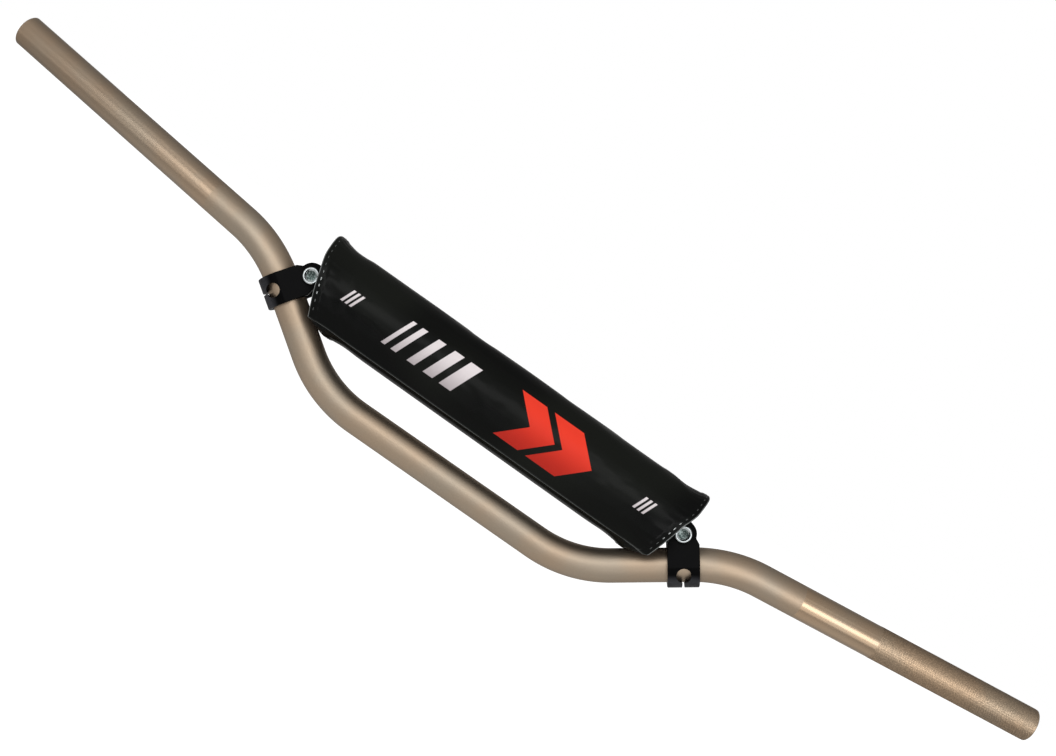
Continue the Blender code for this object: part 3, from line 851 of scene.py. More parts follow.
@dataclass
class BarPath:
    """The tube's centre line: straight, bend, riser, bend and grip on each side."""

    half_span: float = 0.097
    lower_radius: float = 0.084
    riser_angle: float = math.radians(35.5)
    rise: float = 0.0595
    upper_radius: float = 0.086
    sweep_angle: float = math.radians(11.7)
    up_angle: float = math.radians(6.0)
    grip_length: float = 0.2335

    def __post_init__(self) -> None:
        """Work out the five stretches of the right-hand half."""
        self.riser = np.array([math.cos(self.riser_angle), 0.0, math.sin(self.riser_angle)])
        flat = math.cos(self.up_angle)
        self.grip = np.array([flat * math.cos(self.sweep_angle), flat * math.sin(self.sweep_angle),
                              math.sin(self.up_angle)])
        lower = X_AXIS * self.half_span
        upper = lower + self.riser * (self.rise / math.sin(self.riser_angle))
        end = upper + self.grip * self.grip_length
        start_1, inward_1, turn_1, cut_1 = self.bend(lower, X_AXIS, self.riser, self.lower_radius)
        start_2, inward_2, turn_2, cut_2 = self.bend(upper, self.riser, self.grip,
                                                     self.upper_radius)
        riser_start = lower + self.riser * cut_1
        grip_start = upper + self.grip * cut_2
        self.stretches = [
            (np.zeros(3), X_AXIS, None, 0.0, float(start_1[0])),
            (start_1, X_AXIS, inward_1, self.lower_radius, turn_1 * self.lower_radius),
            (riser_start, self.riser, None, 0.0, float(np.linalg.norm(start_2 - riser_start))),
            (start_2, self.riser, inward_2, self.upper_radius, turn_2 * self.upper_radius),
            (grip_start, self.grip, None, 0.0, float(np.linalg.norm(end - grip_start))),
        ]
        self.joins = np.concatenate([[0.0], np.cumsum([s[4] for s in self.stretches])])

    @staticmethod
    def bend(corner: np.ndarray, before: np.ndarray, after: np.ndarray,
             radius: float) -> tuple[np.ndarray, np.ndarray, float, float]:
        """Return a bend's start, inward direction, turn and its length cut off each run.

        Args:
            corner: where the two runs would meet.
            before: the direction that comes in.
            after: the direction that goes out.
            radius: the bend's radius.

        Returns:
            The start, the inward direction, the turn and the length cut off.
        """
        turn = math.acos(float(before @ after))
        cut = radius * math.tan(turn / 2)
        inward = unit(after - before * float(before @ after))
        return corner - before * cut, inward, turn, cut

    @property
    def half_length(self) -> float:
        """Return the distance along the tube from its middle to an end."""
        return float(self.joins[-1])

    def at(self, along: np.ndarray) -> tuple[np.ndarray, np.ndarray]:
        """Return places and directions on the centre line.

        On a bend of radius R, the place is start + before R sin(a) + inward R (1 - cos(a)) with
        a the length run round it over R. The left half mirrors the right.

        Args:
            along: signed distances from the middle.

        Returns:
            The places and the unit directions towards +X.
        """
        far = np.abs(along)
        side = np.where(along < 0, -1.0, 1.0)
        places = np.zeros((len(along), 3))
        headings = np.zeros((len(along), 3))
        for number, (start, before, inward, radius, length) in enumerate(self.stretches):
            last = number == len(self.stretches) - 1
            here = (far >= self.joins[number]) & ((far < self.joins[number + 1]) | last)
            run = (far[here] - self.joins[number])[:, None]
            if inward is None:
                places[here] = start + before * run
                headings[here] = before
            else:
                angle = run / radius
                places[here] = (start + before * radius * np.sin(angle)
                                + inward * radius * (1 - np.cos(angle)))
                headings[here] = before * np.cos(angle) + inward * np.sin(angle)
        places[:, 0] *= side
        headings[:, 1:] *= side[:, None]
        return places, headings


@dataclass
class Tube:
    """The bent tube with its bore, deburred ends and knurled right-hand grip zone."""

    path: BarPath
    radius: float = 0.0111
    wall: float = 0.004
    chamfer: float = 0.0005
    knurl_crests: int = 48
    knurl_depth: float = 0.00026
    knurl_rise: float = 0.00010
    knurl_length: float = 0.1236
    satin_length: float = 0.1836
    polish_length: float = 0.1816
    knurl_end_margin: float = 0.0016
    bend_step: float = math.radians(1.6)
    straight_rings: int = 6
    left_grip_rings: int = 8
    bore_rings: int = 46
    mark_digits: int = 6

    @property
    def pitch(self) -> float:
        """Return the knurl's pitch round the tube, which is its pitch along it too."""
        return FULL_TURN * self.radius / self.knurl_crests

    def smooth_stations(self) -> np.ndarray:
        """Return distances along the tube for the stretches with no knurl.

        Returns:
            The distances, in order.
        """
        joins = self.path.joins
        half = [np.linspace(joins[0], joins[1], self.straight_rings)]
        for number, radius in ((1, self.path.lower_radius), (3, self.path.upper_radius)):
            turns = (joins[number + 1] - joins[number]) / radius / self.bend_step
            half.append(np.linspace(joins[number], joins[number + 1], int(turns) + 2))
        half = np.concatenate(half)
        end = self.path.half_length
        left_marks = [end - self.satin_length, end - self.chamfer]
        left_runs = np.linspace(joins[4], end - self.chamfer, self.left_grip_rings)
        right_runs = np.linspace(joins[4], end - self.knurl_length, self.straight_rings)
        left = -np.concatenate([half, left_runs, left_marks])
        right = np.concatenate([half, right_runs, [end - self.polish_length]])
        return np.unique(np.round(np.concatenate([left, right]), self.mark_digits))

    def knurl_stations(self) -> np.ndarray:
        """Return distances along the tube, four to a pitch, over the knurled zone.

        Returns:
            The distances, in order.
        """
        end = self.path.half_length
        start = end - self.knurl_length + self.pitch / 4
        return np.arange(start, end - self.chamfer - self.pitch / 4, self.pitch / 4)

    def knurl_height(self, along: np.ndarray, angle: np.ndarray) -> np.ndarray:
        """Return how far the knurled surface stands off the plain tube.

        Two sets of V grooves cross at right angles: the distance to the nearest groove line,
        u + v or u - v a whole number in pitches, rises to a flat crest at a quarter.

        Args:
            along: distances along the tube, as a column.
            angle: angles round it, as a row.

        Returns:
            The height at each pair.
        """
        end = self.path.half_length
        start = end - self.knurl_length
        around = angle / FULL_TURN * self.knurl_crests
        down = (along - start) / self.pitch
        first = np.abs((around + down + 0.5) % 1.0 - 0.5)
        second = np.abs((around - down + 0.5) % 1.0 - 0.5)
        crest = np.clip(4.0 * np.minimum(first, second), 0.0, 1.0)
        zone = smooth_step(start, start + self.pitch, along)
        zone = zone * smooth_step(end - self.knurl_end_margin + self.pitch / 2,
                                  end - self.knurl_end_margin - self.pitch / 2, along)
        return zone * (self.knurl_rise - self.knurl_depth * (1.0 - crest))

    def rings(self, along: np.ndarray, radius: np.ndarray, angle: np.ndarray) -> np.ndarray:
        """Return rings about the centre line: place + r (cos a Y' + sin a Z').

        Y' is +Y made square to the line, and Z' is square to both.

        Args:
            along: a distance for each ring.
            radius: rings x angles.
            angle: the angles round.

        Returns:
            rings x angles x 3 points.
        """
        places, headings = self.path.at(along)
        back = unit(Y_AXIS - headings * (headings @ Y_AXIS)[:, None])
        up = np.cross(headings, back)
        spoke = (np.cos(angle)[None, :, None] * back[:, None, :]
                 + np.sin(angle)[None, :, None] * up[:, None, :])
        return places[:, None, :] + spoke * radius[:, :, None]

    def build(self) -> bpy.types.Object:
        """Return the tube: outside, right end face, bore and left end face as one closed skin.

        Returns:
            The piece.
        """
        end = self.path.half_length
        bore = self.radius - self.wall
        outside = np.sort(np.concatenate([self.smooth_stations(), self.knurl_stations(),
                                          [end - self.chamfer]]))
        inside = np.linspace(end - self.chamfer, -end + self.chamfer, self.bore_rings)
        along = np.concatenate([outside, [end, end], inside, [-end, -end]])
        round_radius = np.concatenate([
            np.full(len(outside), self.radius),
            [self.radius - self.chamfer, bore + self.chamfer],
            np.full(len(inside), bore),
            [bore + self.chamfer, self.radius - self.chamfer]])
        angle = np.linspace(0.0, FULL_TURN, 4 * self.knurl_crests, endpoint=False)
        radius = np.repeat(round_radius[:, None], len(angle), axis=1)
        count = len(outside)
        radius[:count] += self.knurl_height(outside[:, None], angle[None, :])
        points = self.rings(along, radius, angle)
        values = {"along": np.repeat(along[:, None], len(angle), axis=1)}
        return build_piece("bar_tube", [Surface(points, closed_rows=True, values=values)])

    def finish(self) -> BronzeTubeFinish:
        """Return the tube's finish with its zones."""
        end = self.path.half_length
        return BronzeTubeFinish("bronze anodised tube", satin_start=end - self.satin_length,
                                polish_start=end - self.polish_length,
                                knurl_start=end - self.knurl_length)


Row = tuple[float, float, float, float]


@dataclass
class Profile:
    """A turned profile: a radius at each height, which may be a hexagon or carry a thread.

    Attributes:
        rows: (radius, height, hexagon share, thread depth) for each ring, from one pole to the
            other or round a closed section.
        thread_pitch: the thread's pitch.
        limit: the largest radius of each ring, for a hexagon with its corners turned off.
    """

    rows: list[Row]
    thread_pitch: float = 0.001
    limit: list[float] | None = None
    closed: bool = False
    columns: int = 72

    def surface(self, origin: np.ndarray) -> Surface:
        """Return the skin about an axis through the origin that points to the front, -Y.

        A hexagon's radius is its half width over cos(a), a the angle from the nearest flat's
        middle. A thread's falls with the height less its share of a turn, as a triangle wave.

        Args:
            origin: the point on the axis at height 0.

        Returns:
            The skin.
        """
        table = np.array(self.rows)
        angle = np.linspace(0.0, FULL_TURN, self.columns, endpoint=False)
        sixth = math.pi / 3
        flat = 1.0 / np.cos((angle + sixth / 2) % sixth - sixth / 2)
        radius = table[:, :1] * (1.0 + table[:, 2:3] * (flat[None, :] - 1.0))
        turns = table[:, 1:2] / self.thread_pitch + angle[None, :] / FULL_TURN
        radius = radius - table[:, 3:4] * np.abs(2.0 * (turns % 1.0) - 1.0)
        if self.limit is not None:
            radius = np.minimum(radius, np.array(self.limit)[:, None])
        points = np.stack([radius * np.cos(angle), np.repeat(-table[:, 1:2], self.columns, axis=1),
                           radius * np.sin(angle)], axis=-1)
        return Surface(points + origin, closed_rows=self.closed)


def plain_rows(*rings: tuple[float, float]) -> list[Row]:
    """Return rows with neither hexagon nor thread, from pairs of radius and height."""
    return [(radius, height, 0.0, 0.0) for radius, height in rings]


def fillet(radius: float, height: float, size: float, start: float, end: float,
           steps: int = 5) -> list[Row]:
    """Return rows round a fillet.

    Args:
        radius: the fillet's centre, from the axis.
        height: the fillet's centre, along the axis.
        size: its own radius.
        start: the first angle, from outwards towards the height.
        end: the last angle.
        steps: the stretches in it.

    Returns:
        Rows for a profile.
    """
    angles = np.linspace(start, end, steps + 1)
    return plain_rows(*[(radius + size * math.cos(a), height + size * math.sin(a)) for a in angles])


@dataclass
class ClampFasteners:
    """One clamp's bolt, washer, lock nut and locking ring."""

    side: Side
    bolt_x: float
    bolt_z: float
    head_seat: float = 0.0114
    shank: float = 0.003
    length: float = 0.035
    head: float = 0.0055
    head_height: float = 0.0045
    head_rounding: float = 0.0003
    under_head: float = 0.0004
    socket: float = 0.003
    socket_depth: float = 0.0026
    socket_cone: tuple = (0.0022, 0.0007)
    lead_in: float = 0.0039
    mouth: tuple = (0.0009, 0.0008)
    mouth_flare: float = 0.0004
    mouth_hexagon: float = 0.3
    head_round_from: float = math.pi * 0.82
    thread_start: float = 0.0002
    thread_length: float = 0.0165
    thread_depth: float = 0.00055
    thread_step: float = 0.000125
    thread_run_in: float = 0.0012
    point: float = 0.0006
    washer: float = 0.006
    washer_thickness: float = 0.0016
    washer_rounding: float = 0.0003
    nut_half_width: float = 0.005
    nut_hex: float = 0.0042
    nut_collar: float = 0.0022
    corner_fall: float = 0.55
    collar: float = 0.0047
    lip: float = 0.0008
    hole: float = 0.0033
    bore_chamfer: float = 0.0005
    bore_inset: float = 0.0004
    top_edge: float = 0.0002
    mouth_chamfer: float = 0.0003
    gap: float = 0.0003
    ring_height: float = 0.0011
    ring_inset: float = 0.00055
    ring_rounding: float = 0.0002
    burr: float = 0.0001

    @property
    def washer_back(self) -> float:
        """Return the depth of the washer's back face."""
        return self.head_seat + self.washer_thickness

    @property
    def nut_back(self) -> float:
        """Return the depth of the nut's back."""
        return self.washer_back + self.gap + self.nut_hex + self.nut_collar

    def turned(self, kind: str, profile: Profile, depth: float) -> bpy.types.Object:
        """Return a piece turned to a profile, from a depth behind the crossbar's axis."""
        origin = np.array([self.side.value * self.bolt_x, depth, self.bolt_z])
        return build_piece(f"{kind}_{self.side.label}", [profile.surface(origin)])

    def build_bolt(self) -> bpy.types.Object:
        """Return the socket-head bolt with its rounded head, hexagon socket and thread.

        Returns:
            The piece.
        """
        top, foot, bottom = self.head_height, -self.length, self.head_rounding
        floor = top - self.socket_depth
        ring = (self.head - self.lead_in) / 2
        cone_radius, cone_depth = self.socket_cone
        rows = plain_rows((0.0, floor - cone_depth), (cone_radius, floor))
        deep, shallow = self.mouth
        rows += [(self.socket, floor + self.burr, 1.0, 0.0), (self.socket, top - deep, 1.0, 0.0),
                 (self.socket + self.mouth_flare, top - shallow, self.mouth_hexagon, 0.0)]
        rows += fillet(self.head - ring, top - ring, ring, self.head_round_from, 0.0, 9)
        rows += fillet(self.head - bottom, bottom, bottom, 0.0, -QUARTER_TURN, 3)
        start = foot + self.thread_length
        rows += plain_rows((self.shank + self.under_head, 0.0), (self.shank, -self.under_head),
                           (self.shank, start + self.thread_start))
        heights = np.arange(start, foot + self.point, -self.thread_step)
        cut = smooth_step(0.0, self.thread_run_in, start - heights) * self.thread_depth
        rows += [(self.shank, float(h), 0.0, float(c)) for h, c in zip(heights, cut)]
        rows += plain_rows((self.shank - self.point, foot), (0.0, foot))
        return self.turned("socket_bolt", Profile(rows), -self.head_seat)

    def build_washer(self) -> bpy.types.Object:
        """Return the punched washer, one of its edges rounded.

        Returns:
            The piece.
        """
        edge, burr, thick = self.washer_rounding, self.burr, self.washer_thickness
        rows = plain_rows((self.hole, 0.0), (self.hole, thick - burr), (self.hole + burr, thick))
        rows += fillet(self.washer - burr, thick - burr, burr, QUARTER_TURN, 0.0, 2)
        rows += fillet(self.washer - edge, edge, edge, 0.0, -QUARTER_TURN, 4)
        return self.turned("flat_washer", Profile(rows, closed=True), self.washer_back)

    def build_nut(self) -> bpy.types.Object:
        """Return the lock nut: chamfered hexagon, rolled collar and threaded bore.

        Returns:
            The piece.
        """
        flat, low = self.nut_half_width, self.nut_collar
        corner = flat / math.cos(math.pi / 6)
        top = self.nut_hex + self.nut_collar
        fall = (corner - flat) * self.corner_fall
        seat, inner = self.collar - self.lip, low - self.bore_inset
        mouth = self.bore_chamfer
        rows = plain_rows((self.hole, inner), (self.hole, top - mouth), (self.hole + mouth, top),
                          (flat - self.top_edge, top))
        limit = [row[0] for row in rows]
        for face, step, shares in ((top, -fall, np.linspace(0.0, 1.0, 5)),
                                   (low, fall, np.linspace(1.0, 0.0, 5))):
            rows += [(flat, face + step * float(share), 1.0, 0.0) for share in shares]
            limit += [flat + (corner - flat) * float(share) for share in shares]
        roll = self.lip / 2
        tail = plain_rows((self.collar, low - self.burr), (self.collar, self.lip))
        tail += fillet(self.collar - roll, roll, roll, 0.0, -QUARTER_TURN)
        tail += plain_rows((seat - self.burr, 0.0), (seat - self.mouth_chamfer, self.top_edge),
                           (seat, self.bore_chamfer), (seat, inner))
        limit += [row[0] for row in tail]
        return self.turned("lock_nut", Profile(rows + tail, limit=limit, closed=True),
                           self.nut_back)

    def build_ring(self) -> bpy.types.Object:
        """Return the nylon ring that grips the thread.

        Returns:
            The piece.
        """
        outer = self.collar - self.lip - self.gap / 3
        low, edge = self.ring_inset, self.ring_rounding
        high = low + self.ring_height
        rows = fillet(outer - edge, high - edge, edge, QUARTER_TURN, 0.0, 2)
        rows += fillet(outer - edge, low + edge, edge, 0.0, -QUARTER_TURN, 2)
        chamfer = self.mouth_chamfer
        rows += plain_rows((self.shank + chamfer, low), (self.shank + self.burr, low + chamfer),
                           (self.shank + self.burr, high))
        return self.turned("locking_ring", Profile(rows, closed=True), self.nut_back)

    def dress(self, zinc: bpy.types.Material, nylon: bpy.types.Material) -> None:
        """Build the four pieces and put them on the part.

        Args:
            zinc: the metal pieces' material.
            nylon: the locking ring's material.
        """
        label = self.side.label
        place(self.build_bolt(), "zinc_plated_steel", zinc, f"clamp_bolt_{label}")
        place(self.build_washer(), "zinc_plated_steel", zinc, f"clamp_washer_{label}")
        place(self.build_nut(), "zinc_plated_steel", zinc, f"clamp_nut_{label}")
        place(self.build_ring(), "white_nylon", nylon, f"nut_locking_ring_{label}")


@dataclass
class PadSection:
    """The pad's squared oval section, in depth and height about the pad's middle."""

    half_depth: float = 0.0200
    half_height: float = 0.0267
    power: float = 2.7
    middle_z: float = 0.0

    def at(self, angle: np.ndarray, offset: np.ndarray | float) -> np.ndarray:
        """Return section points at an offset outside the foam.

        The oval is |y/a|^p + |z/b|^p = 1, walked by angle from the back over the top, and the
        offset is taken along its normal.

        Args:
            angle: the angles.
            offset: the offset at each.

        Returns:
            Points as (..., 2), depth and height.
        """
        share = 2.0 / self.power
        across = np.sign(np.cos(angle)) * np.abs(np.cos(angle)) ** share
        up = np.sign(np.sin(angle)) * np.abs(np.sin(angle)) ** share
        steep = self.power - 1.0
        normal = unit(np.stack([np.sign(across) * np.abs(across) ** steep / self.half_depth,
                                np.sign(up) * np.abs(up) ** steep / self.half_height], axis=-1))
        oval = np.stack([self.half_depth * across, self.half_height * up], axis=-1)
        return oval + normal * np.asarray(offset)[..., None]

    def back_angle(self, height: float) -> float:
        """Return the angle at which the section's back stands at a height."""
        share = abs(height / self.half_height) ** (self.power / 2)
        return math.asin(math.copysign(share, height))


def run_along(line: np.ndarray) -> np.ndarray:
    """Return the distance walked along a line of points, at each of them."""
    return np.concatenate([[0.0], np.cumsum(np.linalg.norm(np.diff(line, axis=0), axis=1))])


def even_angles(section: PadSection, start: float, end: float, count: int) -> np.ndarray:
    """Return angles from one to another that are evenly spaced along the section's outline.

    Args:
        section: the section.
        start: the first angle.
        end: the last angle.
        count: how many angles.

    Returns:
        The angles.
    """
    fine = np.linspace(start, end, 2 * FINE_COUNT)
    run = run_along(section.at(fine, 0.0))
    return np.interp(np.linspace(0.0, run[-1], count), run, fine)


def sheet_surface(middle: np.ndarray, half_thickness: np.ndarray,
                  values: dict[str, tuple[np.ndarray | float, np.ndarray | float]]) -> Surface:
    """Return a closed sheet from its middle surface.

    The two faces lie half a thickness along the middle surface's normal, which is the cross
    product of its two gradients, and meet where the thickness runs out at the edges.

    Args:
        middle: rows x columns x 3 points.
        half_thickness: rows x columns, 0 along all four edges.
        values: for each attribute, its values on the outer and on the inner face.

    Returns:
        The sheet, as rows of outer points followed by the inner ones back.
    """
    down = np.gradient(middle, axis=0)
    along = np.gradient(middle, axis=1)
    normal = unit(np.cross(along, down))
    outer = middle + normal * half_thickness[..., None]
    inner = middle - normal * half_thickness[..., None]
    points = np.concatenate([outer, inner[:, ::-1]], axis=1)
    size = middle.shape[:2]
    made = {}
    for label, (outside, inside) in values.items():
        faces = np.broadcast_to(outside, size), np.broadcast_to(inside, size)[:, ::-1]
        made[label] = np.concatenate(faces, axis=1)
    return Surface(points, values=made)


def edge_taper(distance: np.ndarray, half_thickness: np.ndarray | float) -> np.ndarray:
    """Return the share of its thickness that a sheet keeps near a half-round edge."""
    inset = 1.0 - np.clip(distance / half_thickness, 0.0, 1.0)
    return np.sqrt(np.clip(1.0 - inset * inset, 0.0, 1.0))


def edge_samples(length: float, count: int, thickness: float, closeness: float) -> np.ndarray:
    """Return places from 0 to a length, closer near both ends and with rounding rows at them.

    Args:
        length: the length.
        count: the places between the edges.
        thickness: the sheet's thickness at its edge.
        closeness: how much closer they stand near the ends, 1 for evenly.

    Returns:
        The places, in order.
    """
    base = np.linspace(-1.0, 1.0, count)
    bent = np.sign(base) * (1.0 - (1.0 - np.abs(base)) ** closeness)
    body = (bent + 1.0) / 2.0 * length
    rim = thickness * (1.0 - np.cos(np.linspace(0.0, QUARTER_TURN, 6)))
    both = np.concatenate([body, rim, length - rim])
    return np.unique(np.round(both, 7))


@dataclass
class ClothSettling:
    """A short cloth simulation that lets a sheet settle between the parts that hold it."""

    frames: int = 20
    pressure: float = 2.0
    growth: float = 0.008
    inward: float = 0.00012
    outward: float = 0.00018
    mass: float = 0.3
    quality: int = 6
    stretch_stiffness: float = 30.0
    shear_stiffness: float = 10.0
    bending_stiffness: float = 0.6

    def stand(self, middle: np.ndarray, pinned: np.ndarray) -> np.ndarray:
        """Return how far the sheet moves along its normal, within limits.

        The sheet is cut a little large, so it buckles where nothing holds it, and a light pressure
        stands for the foam behind it. Its move m is eased into the limit c as c tanh(m / c).

        Args:
            middle: rows x columns x 3 points of the sheet's middle surface.
            pinned: which points are held.

        Returns:
            The move at each point.
        """
        moved = self.simulate(middle, pinned)
        normal = unit(np.cross(np.gradient(middle, axis=1), np.gradient(middle, axis=0)))
        move = ((moved - middle) * normal).sum(axis=-1)
        LOG.info("cloth settled, moves %.2f to %.2f mm", move.min() / MILLIMETRE,
                 move.max() / MILLIMETRE)
        limit = np.where(move > 0, self.outward, self.inward)
        return limit * np.tanh(move / limit)

    def simulate(self, middle: np.ndarray, pinned: np.ndarray) -> np.ndarray:
        """Return the points after the simulation has run, with its helper object removed.

        Args:
            middle: rows x columns x 3 points of the middle surface.
            pinned: which points are held.

        Returns:
            The points where they end.
        """
        mesh = bpy.data.meshes.new("settling sheet")
        mesh.from_pydata(middle.reshape(-1, 3), [], Surface(middle, closed_columns=False).faces())
        sheet = add_object("settling sheet", mesh)
        scene = bpy.context.scene
        held = sheet.vertex_groups.new(name="held")
        held.add(np.flatnonzero(pinned.ravel()).tolist(), 1.0, "REPLACE")
        cloth = sheet.modifiers.new("cloth", "CLOTH")
        settings = cloth.settings
        settings.vertex_group_mass = held.name
        settings.mass = self.mass
        settings.quality = self.quality
        settings.tension_stiffness = settings.compression_stiffness = self.stretch_stiffness
        settings.shear_stiffness = self.shear_stiffness
        settings.bending_stiffness = self.bending_stiffness
        settings.use_pressure = True
        settings.uniform_pressure_force = self.pressure
        settings.shrink_min = -self.growth
        settings.effector_weights.gravity = 0.0
        cloth.point_cache.frame_end = self.frames
        first = scene.frame_current
        for frame in range(1, self.frames + 1):
            scene.frame_set(frame)
        result = sheet.evaluated_get(bpy.context.evaluated_depsgraph_get())
        points = np.empty(middle.size, dtype=np.float32)
        result.data.vertices.foreach_get("co", points)
        scene.frame_set(first)
        bpy.data.objects.remove(sheet)
        bpy.data.meshes.remove(mesh)
        return points.reshape(middle.shape).astype(float)


def spread(places: np.ndarray, knots: np.ndarray) -> np.ndarray:
    """Return the weights that carry values at knots to places in between, places x knots."""
    return np.stack([np.interp(places, knots, row) for row in np.eye(len(knots))], axis=1)


@dataclass
class BarPad:
    """The pad: foam core, wrapped cover with stitched hems, and the closure's two tapes."""

    bolt_x: float
    bolt_z: float
    path: BarPath
    above_crossbar: float = 0.0009
    bore: float = 0.0068
    slit: float = 0.0012
    foam_to_bolt: float = 0.0139
    foam_lean: float = math.radians(6.0)
    thickness: float = 0.0012
    hem_width: float = 0.0065
    stitch_inset: float = 0.0029
    stitch_pitch: float = 0.0042
    stitch_length: float = 0.0022
    stitch_radius: float = 0.00036
    top_to_bolt: float = 0.0004
    bottom_to_bolt: float = 0.0132
    end_straight: float = 0.0240
    tube_clearance: float = 0.0117
    askew: float = -0.0094
    inner_edge: float = math.radians(186.0)
    lip: float = math.radians(223.0)
    closure_rise: float = math.radians(50.0)
    layer_gap: float = 0.0003
    tape_margin: float = math.radians(5.0)
    tape_end: float = 0.0062
    left_tuck: float = 0.0030
    left_tip: float = 0.0014
    right_tip: float = 0.0024
    tip_round: float = 0.0007
    corner_x: float = 0.1205
    corner_height: float = -0.0266
    corner_slope: float = 0.37
    droop: float = 0.0005
    lip_hold: float = 0.004
    taped_below: float = -0.55
    lip_rim: float = 0.32
    foam_slack: float = 0.0010
    foam_rounding: float = 0.0016
    flares: tuple = (0.0016, 0.0011)
    flare_reach: float = 0.014
    pull_depth: float = 0.0004
    pull_inset: float = 0.017
    pull_width: float = 0.008
    fold_depth: float = 0.00035
    fold_run: float = 0.0022
    hem_swell: float = 0.45
    hem_run: float = 0.0018
    seam_depth: float = 0.00022
    seam_width: float = 0.0011
    pucker_depth: float = 0.00016
    pucker_reach: float = 0.006
    wave_depths: tuple = (0.00009, 0.00007)
    wave_margin: float = 0.03
    curl: float = 0.0007
    curl_run: float = math.radians(7.0)
    sheet_crease: float = math.radians(60.0)
    cover_grid: int = 170
    end_closeness: float = 1.35
    cloth_grid: tuple = (91, 96)
    rim_band: tuple = (0.25, 0.6)
    first_stitch: float = math.radians(62.0)
    last_stitch: float = math.radians(3.0)
    thread_lift: float = 0.72
    tip_band: tuple = (0.1, 0.6)
    round_from: float = 0.93
    flare_band: tuple = (-0.5, 0.6)
    low_flare: float = 0.35
    wave_turns: tuple = (61.0, 97.0)
    calm_band: tuple = (-0.95, -0.5)
    hem_hold: float = 0.001
    foam_grid: int = 96
    foam_crease: float = math.radians(50.0)
    tape_grid: tuple = (60, 24)

    def __post_init__(self) -> None:
        """Place the section."""
        self.section = PadSection(middle_z=self.bolt_z + self.above_crossbar)
        self.top_half = self.bolt_x - self.top_to_bolt
        self.bottom_half = self.bolt_x - self.bottom_to_bolt
        self.stack = 3 * self.layer_gap + self.thickness * 3 + self.layer_gap
        self.cover_end = self.lip + FULL_TURN

    def cover_offset(self, angle: np.ndarray) -> np.ndarray:
        """Return the cover's middle surface outside the foam, eased up over the closure.

        Args:
            angle: section angles.

        Returns:
            The offset at each.
        """
        start = self.inner_edge + FULL_TURN - self.closure_rise
        eased = smooth_step(start, start + self.closure_rise, angle)
        return self.layer_gap + self.thickness / 2 + (self.stack - self.layer_gap) * eased

    def lean(self, x: np.ndarray | float) -> np.ndarray | float:
        """Return how far the pad hangs off its place along the bar: it droops and sits askew."""
        return self.askew * x - self.droop

    def placed(self, x: np.ndarray, section: np.ndarray, share: float = 1.0) -> np.ndarray:
        """Return points in the part from places along the bar and on the section.

        Args:
            x: places along the bar.
            section: depth and height about the pad's middle, (..., 2).
            share: how much of the lean they follow.

        Returns:
            Points (..., 3).
        """
        height = section[..., 1] + self.section.middle_z + self.lean(x) * share
        return np.stack([x, section[..., 0], height], axis=-1)

    def in_hem(self, inset: np.ndarray, run: float) -> np.ndarray:
        """Return 1 over the folded hem and 0 past it, eased over a run up to its width."""
        return 1.0 - smooth_step(self.hem_width - run, self.hem_width, inset)

    def end_reach(self, base: np.ndarray, side: np.ndarray | float) -> np.ndarray:
        """Return how far out the cover's end lies at a place on its section.

        Below the straight part, the end follows a quarter sine in towards the bottom, where the
        corner is cut off on a slant. Where it would meet the riser, a cylinder of radius c, it
        stops at half span + (z cos a - root(c^2 - y^2)) / sin a; in front of it, it hangs over.

        Args:
            base: points (..., 2) on the section, depth and height.
            side: -1 at the left end and 1 at the right.

        Returns:
            The half length at each place.
        """
        depth, height = base[..., 0], base[..., 1]
        half_height = self.section.half_height + self.layer_gap + self.thickness
        span = 3 * half_height - self.end_straight
        share = np.clip((height + half_height) / span, 0.0, 1.0)
        bottom = self.bottom_half - np.where(side < 0, self.left_tuck, 0.0)
        reach = bottom + (self.top_half - bottom) * np.sin(share * QUARTER_TURN)
        tip = np.where(side < 0, self.left_tip, self.right_tip)
        low, high = self.tip_band
        reach = reach + tip * smooth_step(low * half_height, high * half_height, height)
        reach = reach - self.tip_round * smooth_step(self.round_from * half_height, half_height,
                                                     height)
        z = height + self.section.middle_z + self.lean(side * self.bottom_half)
        chord = np.sqrt(np.clip(self.tube_clearance ** 2 - depth ** 2, 0.0, None))
        square = z * math.cos(self.path.riser_angle) - chord
        beside_riser = self.path.half_span + square / math.sin(self.path.riser_angle)
        corner = self.corner_x + (height - self.corner_height) / self.corner_slope
        return np.minimum(np.minimum(reach, corner), beside_riser)

